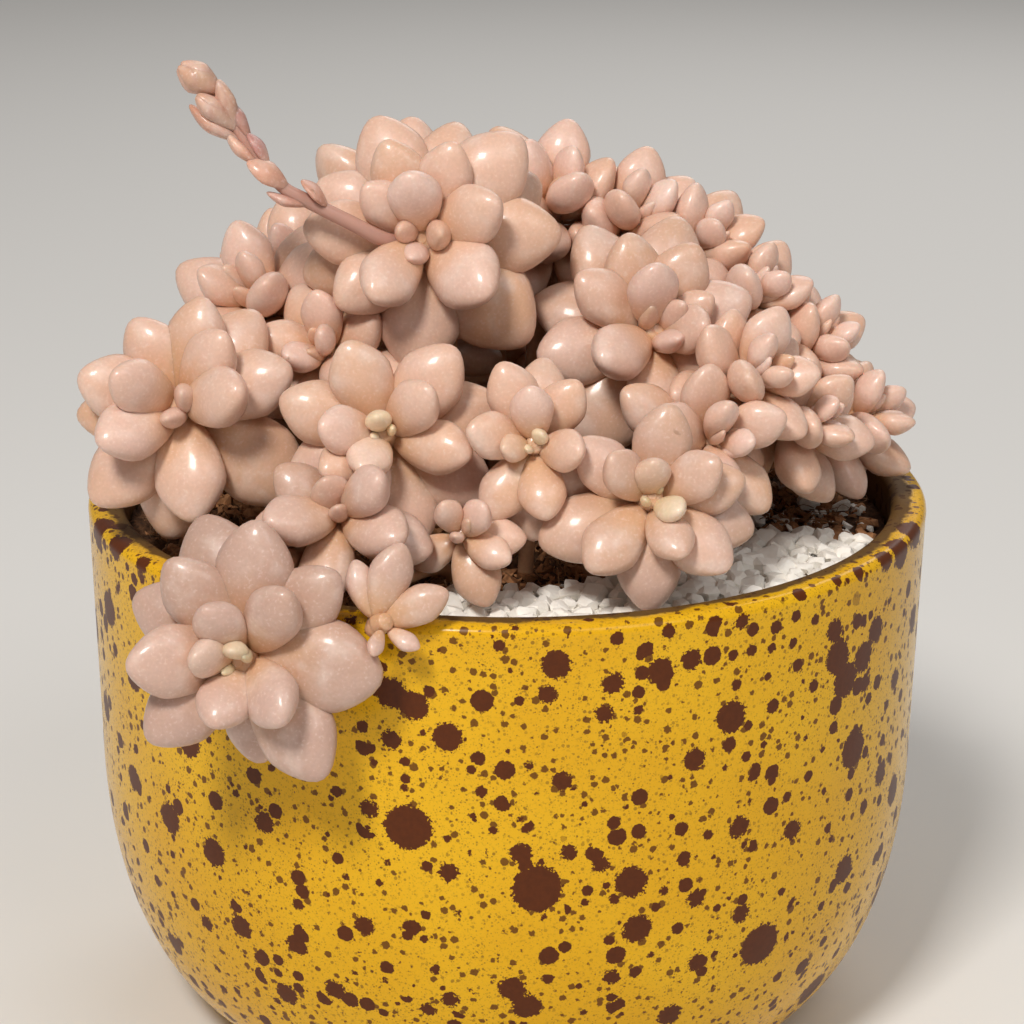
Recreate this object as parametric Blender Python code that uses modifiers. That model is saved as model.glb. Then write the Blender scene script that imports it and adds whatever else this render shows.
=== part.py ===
"""A potted graptopetalum: a speckled glazed pot, soil, white gravel, leafy stems and one flower stalk.

Metres, +Z up, origin at the centre of the pot's flat foot, the plant's best side towards -Y.
"""
import math
import random
from dataclasses import dataclass

import bmesh
import bpy
import numpy as np
from mathutils import Matrix, Vector

# Points closer than this are one point, in a fused solid and in a single piece
MERGE = 0.000002
PIECE_MERGE = 0.00001

# The pot
POT_RADIUS = 0.060
POT_HEIGHT = 0.078
WALL = 0.0050
BELLY_RADIUS = 0.0593
BELLY_HEIGHT = 0.044
FOOT_RADIUS = 0.034
FLOOR = 0.0070
CURVE_POWER = 2.3
CURVE_POINTS = 4
FLOOR_INSET = 0.002
CURVE_START = 0.003
RIM_ROUND = 0.0014
RIM_SOFT = 0.3
DRAIN_COUNT = 3
DRAIN_FIRST = 90
DRAIN_RADIUS = 0.0035
DRAIN_RING = 0.018
DRAIN_SIDES = 10
POT_STEPS = 32
SMOOTH_ANGLE = math.radians(35)

# The soil, with its holes for the stems, and the gravel bed on it
GAP = 0.0003
SOIL_LEVEL = 0.0725
SOIL_FALL = 0.020
SOIL_BUMP = 0.0006
BUMP_WAVES = (310, 270, 520, 430)
BUMP_SHIFT = 1.1
SECOND_BUMP = 0.6
SOIL_RINGS = 5
SOIL_STEPS = 24
HOLE_DEPTH = 0.0060
HOLE_SIDES = 5
DRILL_LENGTH = 0.02
GRAVEL_FROM = -110
GRAVEL_TO = 20
GRAVEL_RINGS = (3, 5)
GRAVEL_BED = 0.0009
BED_INSET = 0.0002
PEBBLES = 19
PEBBLE_RADIUS = 0.0020
PEBBLE_SIZES = (0.75, 1.1)
PEBBLE_SPACING = 1.45
PEBBLE_INSET = 1.2
PEBBLE_RISE = 0.2
PEBBLE_FORM = ((0.9, 1.15), (0.75, 1.0), 0.75)
PEBBLE_ANGLE_INSET = 3
PEBBLE_TO_STEM = 0.0042
SEED = 7

# Leaves, as shares of a leaf's length
LEAF_WIDTH = 0.70
LEAF_THICK = 0.54
LEAF_MIDDLE = 0.60
LEAF_HALF = 0.42
LEAF_HOOK = 0.05
NECK = 0.46
LEAF_SIDES = 5
LEAF_RINGS = 3
YOUNG_LEAF = 0.54
GROWN_AGE = 0.45
GROWTH_CURVE = 0.8
INNER_LEAVES = (1, 2, 3)
TINY_LEAF = 0.63
VIEW_RISE = math.radians(18.3)

# Stems
STEM_SHARE = 0.115
ROOT_SINK = 0.14
CORE_SHARE = 0.21
CORE_BACK = 0.10
CORE_FRONT = 0.06
CORE_SIDES = 6
CORE_RINGS = 4
FOOT_PULL = 0.72
FOOT_REACH = 0.029
FOOT_RISE = 0.0015
STEM_EASE = 0.4

# How the leaves settle against each other
ROUNDS = 110
CLEAR = 0.0005
TIGHT = 0.0004
OWN_LAP = 0.0006
LEAF_FLOOR = 0.0018
GRAVEL_CLEAR = 0.0016
GRAVEL_EDGE = 0.5
BESIDE_BELOW = 0.001
BESIDE_INSET = 0.002
LINE_STEP = 0.0012
STEM_CLEAR = 1.1
STALK_CLEAR = 1.4
GAP_STEPS = 4
NEAR_EVERY = 6
NEAR_LEAF = 0.0015
NEAR_STEM = 0.0035
GIVE = 0.35
HARD_GIVE = 0.5
TURN_GIVE = 0.6
MOST_PUSH = 0.003
MOST_MOVE = 0.002
PULL_HOME = 0.04
MOST_BEND = math.radians(43)
MOST_SLIDE = 0.16
SHRINK_AFTER = 20
SHRINK_EVERY = 3
MOST_SHRINK = 0.04
SMALLEST = 0.45

# The flower stalk
STALK_RADIUS = 0.0011
STALK_TAPER = (1.25, 0.70)
STALK_STEP = 0.0006
BRACTS = 6
BRACT_RANGE = (0.38, 0.98)
BRACT_LEAN = math.radians(28)
BRACT_LENGTH = 0.0040
BRACT_WIDTH = 0.55
BRACT_THICK = 0.40
BRACT_OUT = 0.0002
SPIRAL = 137.5
STALK_PATH = [(-0.0168, -0.0205, 0.1182), (-0.0203, -0.0216, 0.1203), (-0.0268, -0.0220, 0.1237),
              (-0.0298, -0.0220, 0.1255), (-0.0327, -0.0215, 0.1289), (-0.0355, -0.0208, 0.1326),
              (-0.0377, -0.0200, 0.1373)]

# Flower buds: the point of the stalk that each grows from, counted back from its tip, its share
# of the stalk's own way, of the way to the right and of the way to the front, and its length
BUD_RIGHT = (0.94, 0.0, 0.34)
BUD_FRONT = (0.0, -0.97, 0.24)
BUD_PLUMP = 0.76
BUDS = [(1, 0.75, -0.30, 0.0, 0.0060), (2, 0.50, -0.75, 0.0, 0.0052),
        (2, 0.70, 0.0, 0.60, 0.0050), (2, 0.75, 0.55, 0.0, 0.0048)]


@dataclass
class Stem:
    """A leafy stem: its growing point, the way that this faces, and how its leaves follow."""
    name: str
    apex: tuple
    facing: tuple
    leaf: float
    count: int = 0
    first: float = 0
    turn: int = 1
    opening: tuple = (15, 98)
    reach: float = 0.009
    spiral: float = SPIRAL
    spread: float = 0.7
    hub: float = 0.2
    foot: tuple = None
    route: tuple = ()

    @property
    def seen(self):
        """The leaves that are set one by one, if they are."""
        return LEAVES_SEEN.get(self.name, ())

    @property
    def axis(self):
        """The way that the rosette faces."""
        across, up = (math.radians(angle) for angle in self.facing)
        return np.array([math.sin(across) * math.cos(up), -math.cos(across) * math.cos(up), math.sin(up)])

    @property
    def radius(self):
        """The bare stem's radius."""
        return STEM_SHARE * self.leaf


# The leaves of the front's stems, youngest first, each as it stands to someone who looks at the front
# from a little above: its turn on the clock from straight up, its lean away from the eye, both in
# degrees, and its share of the stem's largest leaf.
LEAVES_SEEN = {
    "crown": ((346, 38, 0.66), (230, 46, 0.70), (68, 52, 0.70), (305, 56, 0.66), (133, 52, 0.80),
              (19, 76, 0.78), (338, 72, 0.78), (266, 84, 0.94), (236, 82, 0.94), (43, 92, 1.0),
              (83, 90, 1.0), (188, 88, 1.0), (136, 92, 1.06), (335, 95, 1.0), (10, 98, 1.0),
              (301, 98, 0.95), (258, 100, 1.0), (60, 104, 1.0)),
    "peak": ((358, 45, 0.62), (240, 40, 0.70), (82, 50, 0.66), (60, 65, 0.55), (173, 68, 0.74),
             (311, 74, 0.74), (108, 74, 0.76), (24, 84, 0.78), (65, 84, 0.80), (342, 88, 0.90),
             (260, 80, 0.84), (139, 90, 0.93), (211, 90, 0.98), (303, 96, 1.05), (325, 96, 1.08),
             (17, 102, 1.0), (98, 100, 0.85)),
    "left": ((296, 42, 0.72), (80, 44, 0.78), (242, 52, 0.77), (33, 67, 0.76), (286, 70, 0.82),
             (171, 80, 0.86), (8, 84, 0.86), (338, 86, 0.82), (67, 84, 0.96), (259, 88, 0.88),
             (227, 88, 1.04), (41, 95, 1.0), (126, 92, 1.1), (192, 100, 1.05)),
    "spill": ((320, 12, 0.30), (275, 38, 0.49), (325, 38, 0.60), (142, 46, 0.66), (202, 48, 0.60),
              (38, 55, 0.80), (264, 62, 0.84), (322, 82, 0.84), (230, 86, 0.85), (9, 84, 1.0),
              (90, 84, 1.06), (146, 86, 1.0), (45, 84, 1.14), (300, 98, 0.88), (341, 96, 1.06),
              (68, 100, 1.02), (172, 98, 0.8)),
    "brow": ((340, 20, 0.36), (205, 38, 0.62), (272, 48, 0.72), (48, 46, 0.74), (222, 66, 0.78),
             (103, 66, 0.80), (337, 74, 0.86), (39, 80, 0.95), (286, 86, 0.98), (248, 88, 0.95),
             (167, 88, 1.0), (119, 92, 1.05), (76, 94, 1.05)),
    "nest": ((30, 20, 0.32), (262, 38, 0.50), (355, 50, 0.76), (100, 46, 0.76), (283, 62, 0.80),
             (172, 68, 0.86), (211, 84, 0.95), (339, 84, 1.0), (33, 78, 0.85), (129, 90, 0.95),
             (5, 98, 1.0), (180, 100, 1.0)),
    "rim": ((110, 30, 0.42), (0, 38, 0.50), (318, 48, 0.62), (150, 50, 0.66), (62, 68, 0.76),
            (222, 72, 0.78), (131, 76, 0.84), (12, 80, 0.82), (77, 86, 0.82), (180, 92, 0.88),
            (306, 88, 0.8), (252, 92, 0.93), (100, 98, 0.95)),
    "tuck": ((330, 42, 0.72), (40, 44, 0.78), (118, 66, 0.85), (90, 92, 0.9), (160, 88, 1.1),
             (250, 100, 0.85)),
    "shoulder": ((48, 46, 0.80), (262, 48, 0.88), (112, 50, 0.85), (340, 44, 0.60), (200, 75, 0.9),
                 (265, 90, 0.85), (114, 90, 0.95), (20, 92, 0.9), (310, 92, 0.9)),
    "sprig": ((200, 55, 0.35), (121, 75, 0.42), (64, 84, 0.82), (14, 84, 0.94), (342, 88, 0.72)),
}

# Facing is in degrees: across from -Y towards +X, then up. Lengths are in metres.
STEMS = [
    Stem("crown", (-0.0115, -0.0180, 0.1177), (-5, 14), 0.0146, reach=0.006),
    Stem("peak", (0.0201, -0.0180, 0.1052), (14, 30), 0.0144, reach=0.007),
    Stem("left", (-0.0439, -0.0300, 0.0979), (-14, 24), 0.0136, reach=0.006),
    Stem("spill", (-0.0328, -0.0630, 0.0746), (-10, 8), 0.0144, reach=0.005,
         foot=(-0.0200, -0.0290),
         route=((-0.0265, -0.0430, 0.0810), (-0.0305, -0.0530, 0.0826), (-0.0325, -0.0575, 0.0795))),
    Stem("brow", (-0.0160, -0.0400, 0.0972), (-3, 22), 0.0118, reach=0.007),
    Stem("nest", (0.0035, -0.0420, 0.0963), (-1, 22), 0.0094, reach=0.004),
    Stem("rim", (0.0184, -0.0460, 0.0906), (5, 34), 0.0122, reach=0.004),
    Stem("tuck", (-0.0060, -0.0470, 0.0862), (-5, 35), 0.0070, reach=0.004),
    Stem("shoulder", (-0.0215, -0.0460, 0.0890), (-10, 45), 0.0105, reach=0.005),
    Stem("sprig", (-0.0148, -0.0620, 0.0795), (40, 30), 0.0090, reach=0.002,
         foot=(-0.0082, -0.0300), route=((-0.0125, -0.0420, 0.0785), (-0.0145, -0.0540, 0.0812))),
    Stem("under", (-0.0250, -0.0200, 0.1030), (-20, 35), 0.0094, 11, 10, -1, reach=0.007),
    Stem("wing_front", (-0.0355, -0.0060, 0.1070), (-35, 50), 0.0118, 13, 70, 1),
    Stem("wing_top", (-0.0305, 0.0080, 0.1085), (-25, 60), 0.0108, 10, 170, -1, reach=0.008),
    Stem("ridge_left", (0.0065, 0.0060, 0.1195), (15, 62), 0.0120, 13, 15, 1),
    Stem("ridge_right", (0.0180, 0.0040, 0.1170), (35, 55), 0.0110, 13, 110, -1),
    Stem("slope_top", (0.0285, 0.0032, 0.1134), (50, 50), 0.0098, 12, 60, 1),
    Stem("slope_upper", (0.0355, -0.0040, 0.1075), (55, 45), 0.0096, 13, 220, -1),
    Stem("slope_lower", (0.0445, -0.0020, 0.1000), (65, 40), 0.0092, 13, 300, 1),
    Stem("slope_end", (0.0515, -0.0060, 0.0905), (70, 30), 0.0090, 13, 30, -1),
    Stem("slope_front", (0.0420, -0.0200, 0.0935), (45, 25), 0.0092, 13, 130, 1),
    Stem("slope_inner", (0.0340, -0.0260, 0.1015), (40, 30), 0.0094, 13, 250, -1),
    Stem("gully", (0.0280, -0.0340, 0.0945), (30, 20), 0.0094, 10, 330, 1, reach=0.007),
    Stem("back_left_low", (-0.0440, 0.0140, 0.0930), (-110, 45), 0.0125, 11, 0, 1),
    Stem("back_left", (-0.0270, 0.0360, 0.0950), (-150, 45), 0.0130, 11, 90, -1),
    Stem("back_middle", (0.0010, 0.0430, 0.0885), (175, 45), 0.0130, 11, 200, 1),
    Stem("back_right", (0.0300, 0.0340, 0.0930), (140, 45), 0.0125, 11, 310, -1),
    Stem("back_right_low", (0.0460, 0.0140, 0.0890), (105, 40), 0.0110, 11, 45, 1),
    Stem("cap", (-0.0140, 0.0090, 0.1190), (170, 55), 0.0130, 12, 150, -1),
    Stem("back_top_right", (0.0210, 0.0215, 0.1075), (120, 70), 0.0125, 11, 260, 1),
    Stem("back_top_left", (-0.0365, 0.0230, 0.1035), (-110, 55), 0.0120, 11, 350, -1),
    Stem("back_top", (-0.0020, 0.0280, 0.1120), (180, 55), 0.0125, 12, 30, -1),
]


def clear_scene():
    """Removes whatever the file opened with."""
    for thing in list(bpy.data.objects):
        bpy.data.objects.remove(thing)


def material(name, colour, roughness, metallic=0.0):
    """A plain surface with the part's colour."""
    made = bpy.data.materials.new(name)
    made.use_nodes = True
    shader = made.node_tree.nodes["Principled BSDF"]
    shader.inputs["Base Color"].default_value = (*colour, 1.0)
    shader.inputs["Roughness"].default_value = roughness
    shader.inputs["Metallic"].default_value = metallic
    made.diffuse_color = (*colour, 1.0)
    return made


def collection(name):
    """A new collection in the scene."""
    made = bpy.data.collections.new(name)
    bpy.context.scene.collection.children.link(made)
    return made


def put(name, mesh, holder, finish=None):
    """An object of a mesh, in a collection."""
    thing = bpy.data.objects.new(name, mesh)
    holder.objects.link(thing)
    if finish:
        mesh.materials.clear()
        mesh.materials.append(finish)
    return thing


def evaluated(thing, name):
    """A new mesh of what an object evaluates to, in world space."""
    bpy.context.view_layer.update()
    graph = bpy.context.evaluated_depsgraph_get()
    mesh = bpy.data.meshes.new_from_object(thing.evaluated_get(graph))
    mesh.transform(thing.matrix_world)
    mesh.name = name
    return mesh


def mesh_of(form, name):
    """A new mesh of a form, in triangles."""
    bmesh.ops.triangulate(form, faces=form.faces)
    mesh = bpy.data.meshes.new(name)
    form.to_mesh(mesh)
    form.free()
    return mesh


def drill(name, radius, length, sides, place, holder):
    """A straight round cutter along Z, centred on a place."""
    form = bmesh.new()
    bmesh.ops.create_cone(form, cap_ends=True, segments=sides, radius1=radius, radius2=radius, depth=length)
    cutter = put(name, mesh_of(form, name), holder)
    cutter.location = place
    cutter.hide_render = True
    cutter.display_type = "WIRE"


def cut(thing, name, cutters):
    """Cuts a collection of cutters out of an object."""
    holes = thing.modifiers.new(name, "BOOLEAN")
    holes.operation = "DIFFERENCE"
    holes.operand_type = "COLLECTION"
    holes.collection = cutters


def turned(name, profile, steps, holder):
    """A profile at +X, from axis to axis down its outer side, turned about Z."""
    mesh = bpy.data.meshes.new(name)
    points = [(r, 0.0, z) for r, z in profile]
    mesh.from_pydata(points, [(i, i + 1) for i in range(len(points) - 1)], [])
    thing = put(name, mesh, holder)
    screw = thing.modifiers.new("turn", "SCREW")
    screw.steps = steps
    screw.render_steps = steps
    screw.use_merge_vertices = True
    screw.merge_threshold = PIECE_MERGE
    screw.use_smooth_shade = False
    return thing


def volume(faces):
    """The space that a closed body of triangles holds."""
    corners = [[vert.co for vert in face.verts] for face in faces]
    return sum(a.dot(b.cross(c)) for a, b, c in corners) / 6


def bodies_of(form):
    """A form's separate bodies, each a list of its faces."""
    left = set(form.faces)
    bodies = []
    while left:
        queue = [left.pop()]
        body = list(queue)
        while queue:
            beside = {face for edge in queue.pop().edges for face in edge.link_faces if face in left}
            left -= beside
            queue += beside
            body += beside
        bodies.append(body)
    return bodies


def main_body(mesh):
    """Keeps a mesh's largest body: sealed hollows are filled and loose scraps dropped."""
    form = bmesh.new()
    form.from_mesh(mesh)
    bmesh.ops.remove_doubles(form, verts=form.verts, dist=MERGE)
    bmesh.ops.dissolve_degenerate(form, edges=form.edges, dist=MERGE)
    bmesh.ops.triangulate(form, faces=form.faces)
    bodies = sorted(bodies_of(form), key=volume)
    scraps = [face for body in bodies[:-1] for face in body]
    bmesh.ops.delete(form, geom=scraps, context="FACES")
    form.to_mesh(mesh)
    form.free()


def fused(name, pieces, holder, finish):
    """One solid of several closed meshes, joined by one union on their collection."""
    group = collection(name + "_pieces")
    for number, mesh in enumerate(pieces[1:]):
        put("%s_piece_%d" % (name, number), mesh, group)
    base = put(name + "_base", pieces[0], holder)
    union = base.modifiers.new("union", "BOOLEAN")
    union.operation = "UNION"
    union.operand_type = "COLLECTION"
    union.collection = group
    union.solver = "EXACT"
    mesh = evaluated(base, name)
    bpy.data.objects.remove(base)
    for thing in list(group.objects):
        bpy.data.objects.remove(thing)
    bpy.data.collections.remove(group)
    main_body(mesh)
    return put(name, mesh, holder, finish)


def wall_radius(height):
    """The pot's outer radius at a height, above the curve at its foot."""
    if height >= BELLY_HEIGHT:
        share = (height - BELLY_HEIGHT) / (POT_HEIGHT - BELLY_HEIGHT)
        return BELLY_RADIUS + (POT_RADIUS - BELLY_RADIUS) * share
    share = 1 - (1 - height / BELLY_HEIGHT) ** CURVE_POWER
    return FOOT_RADIUS + (BELLY_RADIUS - FOOT_RADIUS) * share ** (1 / CURVE_POWER)


def curve_heights():
    """Heights down the rounded foot, closer together near the bottom."""
    turns = [math.pi / 2 * (1 - i / CURVE_POINTS) for i in range(CURVE_POINTS + 1)]
    return [BELLY_HEIGHT * (1 - math.cos(turn) ** (2 / CURVE_POWER)) for turn in turns]


def inner_radius(height):
    """The pot's inner radius at a height."""
    return wall_radius(height) - WALL


def pot_profile():
    """The pot's section, from the middle of its floor over the rim to the middle of its foot."""
    inside = [(0.0, FLOOR), (inner_radius(FLOOR) - FLOOR_INSET, FLOOR)]
    inside += [(inner_radius(z), z) for z in reversed(curve_heights()) if z > FLOOR + CURVE_START]
    lip = POT_HEIGHT - RIM_ROUND
    soft = RIM_SOFT * RIM_ROUND
    rim = [(POT_RADIUS - WALL, lip), (POT_RADIUS - WALL + RIM_ROUND, POT_HEIGHT),
           (POT_RADIUS - RIM_ROUND, POT_HEIGHT), (POT_RADIUS - soft, POT_HEIGHT - soft), (POT_RADIUS, lip)]
    outside = [(wall_radius(z), z) for z in curve_heights()] + [(0.0, 0.0)]
    return inside + rim + outside


def pot(holder, cutters):
    """The glazed pot: a turned wall with a rounded rim, and drain holes in its floor."""
    body = turned("pot_turned", pot_profile(), POT_STEPS, holder)
    mesh = evaluated(body, "pot")
    bpy.data.objects.remove(body)
    thing = put("pot", mesh, holder, material("yellow_glaze", (0.78, 0.46, 0.05), 0.18))
    for number in range(DRAIN_COUNT):
        angle = math.radians(DRAIN_FIRST + 360 / DRAIN_COUNT * number)
        place = (DRAIN_RING * math.cos(angle), DRAIN_RING * math.sin(angle), FLOOR / 2)
        drill("drain_%d" % number, DRAIN_RADIUS, 3 * FLOOR, DRAIN_SIDES, place, cutters)
    cut(thing, "drains", cutters)
    mesh.shade_smooth()
    mesh.set_sharp_from_angle(angle=SMOOTH_ANGLE)


def under_gravel(x, y):
    """Whether a place is under the gravel, where the soil is level."""
    turn = math.degrees(math.atan2(y, x))
    return GRAVEL_FROM < turn < GRAVEL_TO and math.hypot(x, y) > ring_radius(GRAVEL_RINGS[0]) - GAP


def soil_height(x, y):
    """The soil's surface: it falls to the back, in low crumbly bumps."""
    if under_gravel(x, y):
        return SOIL_LEVEL - SOIL_FALL * y
    a, b, c, d = BUMP_WAVES
    bumps = math.sin(a * x + BUMP_SHIFT) * math.cos(b * y) + SECOND_BUMP * math.sin(c * y - d * x)
    return SOIL_LEVEL - SOIL_FALL * y + SOIL_BUMP * bumps


def ring_radius(ring):
    """The radius of one of the rings that the soil's surface is made of."""
    edge = inner_radius(SOIL_LEVEL) - GAP
    return edge * ring / SOIL_RINGS


def stem_path(stem):
    """A stem's line from the bottom of its hole to its growing point."""
    low = np.array(stem.apex) - stem.axis * (stem.reach + CORE_BACK * stem.leaf)
    pull = min(FOOT_PULL, FOOT_REACH / math.hypot(low[0], low[1]))
    foot = stem.foot or tuple(pull * low[:2])
    ground = soil_height(*foot)
    bottom = np.array([*foot, ground - HOLE_DEPTH + GAP])
    rise = np.array([*foot, ground + FOOT_RISE])
    if stem.route:
        between = [np.array(point) for point in stem.route]
    else:
        ease = STEM_EASE * np.linalg.norm(low - rise)
        lean_out = rise + np.array([0, 0, ease])
        lean_in = low - stem.axis * ease
        between = [(rise + 3 * lean_out + 3 * lean_in + low) / 8]
    return [bottom, rise, *between, low]


def along(path, spacing=LINE_STEP):
    """Points close together along a line."""
    points = []
    for start, end in zip(path[:-1], path[1:]):
        count = max(1, int(np.linalg.norm(end - start) / spacing))
        points += [start + (end - start) * i / count for i in range(count)]
    return np.array(points + [path[-1]])


def spiral_leaves(stem):
    """A stem's leaves as they grow, in a spiral round the growing point: root, way, face and length."""
    aside = np.cross([0.0, 0.0, 1.0], stem.axis)
    aside /= np.linalg.norm(aside)
    above = np.cross(stem.axis, aside)
    leaves = []
    for number in range(stem.count):
        age = number / (stem.count - 1)
        start, end = stem.opening
        open_angle = math.radians(start + (end - start) * age ** stem.spread)
        round_angle = math.radians(stem.first + stem.turn * number * stem.spiral)
        side = math.cos(round_angle) * aside + math.sin(round_angle) * above
        way = math.cos(open_angle) * stem.axis + math.sin(open_angle) * side
        face = math.sin(open_angle) * stem.axis - math.cos(open_angle) * side
        length = stem.leaf * (YOUNG_LEAF + (1 - YOUNG_LEAF) * min(1, age / GROWN_AGE) ** GROWTH_CURVE)
        root = np.array(stem.apex) - stem.axis * stem.reach * age
        root = root + side * stem.hub * stem.leaf * math.sin(open_angle)
        leaves.append((root, way, face, length))
    return leaves


def seen_leaves(stem):
    """A stem's leaves as they are set one by one: root, way, face and length."""
    sight = np.array([0.0, -math.cos(VIEW_RISE), math.sin(VIEW_RISE)])
    right = np.array([1.0, 0.0, 0.0])
    above = np.array([0.0, math.sin(VIEW_RISE), math.cos(VIEW_RISE)])
    leaves = []
    for number, (clock, lean, share) in enumerate(stem.seen):
        turn, tilt = math.radians(clock), math.radians(lean)
        across = math.sin(turn) * right + math.cos(turn) * above
        way = math.cos(tilt) * sight + math.sin(tilt) * across
        out = way - (way @ stem.axis) * stem.axis
        face = unit(stem.axis - (way @ stem.axis) * way)
        age = number / (len(stem.seen) - 1)
        root = np.array(stem.apex) - stem.axis * stem.reach * age + out * stem.hub * stem.leaf
        leaves.append((root, way, face, stem.leaf * share))
    return leaves


def grown_leaves(stem):
    """A stem's leaves, set one by one or by the spiral."""
    return seen_leaves(stem) if stem.seen else spiral_leaves(stem)


def spreads(way, face, length):
    """The matrix of each leaf's fat part, taken as an ellipsoid."""
    across = np.cross(way, face)
    sizes = ((LEAF_HALF, way), (LEAF_WIDTH / 2, across), (LEAF_THICK / 2, face))
    return sum(((share * length) ** 2)[:, None, None] * v[:, :, None] * v[:, None, :] for share, v in sizes)


def half_depth(spread, way):
    """How far an ellipsoid reaches in a direction."""
    return np.sqrt(np.einsum("ki,kij,kj->k", way, spread, way))


def unit(vectors):
    """Vectors made one long."""
    return vectors / np.linalg.norm(vectors, axis=-1, keepdims=True)


def leaf_gaps(first, second, between):
    """The clear distance between pairs of leaves, and the direction in which it is widest."""
    distance = np.linalg.norm(between, axis=1)[:, None]
    way = between / distance
    for _ in range(GAP_STEPS):
        slope = between
        for spread in (first, second):
            slope = slope - np.einsum("kij,kj->ki", spread, way) / half_depth(spread, way)[:, None]
        slope = slope - (slope * way).sum(1)[:, None] * way
        way = unit(way + TURN_GIVE * slope / distance)
    return (between * way).sum(1) - half_depth(first, way) - half_depth(second, way), way


def pushed(gap, wanted, share):
    """How far to move something whose gap is too small."""
    return np.clip(wanted - gap, 0, MOST_PUSH) * share


def push_off_rim(centre, spread, across, out):
    """Moves leaves off the pot's rounded rim and its outer wall."""
    ring = out * (POT_RADIUS - WALL / 2)
    ring[:, 2] = POT_HEIGHT - WALL / 2
    off = centre - ring
    way = unit(off)
    gap = np.linalg.norm(off, axis=1) - half_depth(spread, way) - WALL / 2
    move = way * pushed(gap, CLEAR, HARD_GIVE)[:, None]
    beside = (centre[:, 2] < POT_HEIGHT - BESIDE_BELOW) & (across > POT_RADIUS - BESIDE_INSET)
    gap = across - half_depth(spread, out) - POT_RADIUS
    return move + out * np.where(beside, pushed(gap, CLEAR, HARD_GIVE), 0)[:, None]


def push_off_soil(centre, spread, across):
    """Moves leaves up off the soil and the gravel."""
    up = np.tile([0.0, 0.0, 1.0], (len(centre), 1))
    ground = SOIL_LEVEL - SOIL_FALL * centre[:, 1] + LEAF_FLOOR
    angle = np.degrees(np.arctan2(centre[:, 1], centre[:, 0]))
    near_edge = ring_radius(GRAVEL_RINGS[0] - GRAVEL_EDGE)
    on_gravel = (angle > GRAVEL_FROM) & (angle < GRAVEL_TO) & (across > near_edge)
    ground = ground + np.where(on_gravel, GRAVEL_CLEAR, 0)
    gap = centre[:, 2] - half_depth(spread, up) - ground
    inside = across < POT_RADIUS - WALL
    return up * np.where(inside, pushed(gap, 0, HARD_GIVE), 0)[:, None]


def stem_sticks(stems):
    """Points along every stem and the flower stalk, which leaves stay off: owner, place and radius."""
    sticks = []
    for number, stem in enumerate(stems):
        path = stem_path(stem)
        sticks.append((number, STEM_CLEAR * stem.radius, along(path)))
        sticks.append((number, CORE_SHARE * stem.leaf, along([path[-1], np.array(stem.apex)])))
    sticks.append((-1, STALK_CLEAR * STALK_RADIUS, along([np.array(point) for point in STALK_PATH])))
    owner = np.concatenate([[number] * len(line) for number, _, line in sticks])
    radius = np.concatenate([[size] * len(line) for _, size, line in sticks])
    return owner, np.concatenate([line for _, _, line in sticks]), radius


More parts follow.
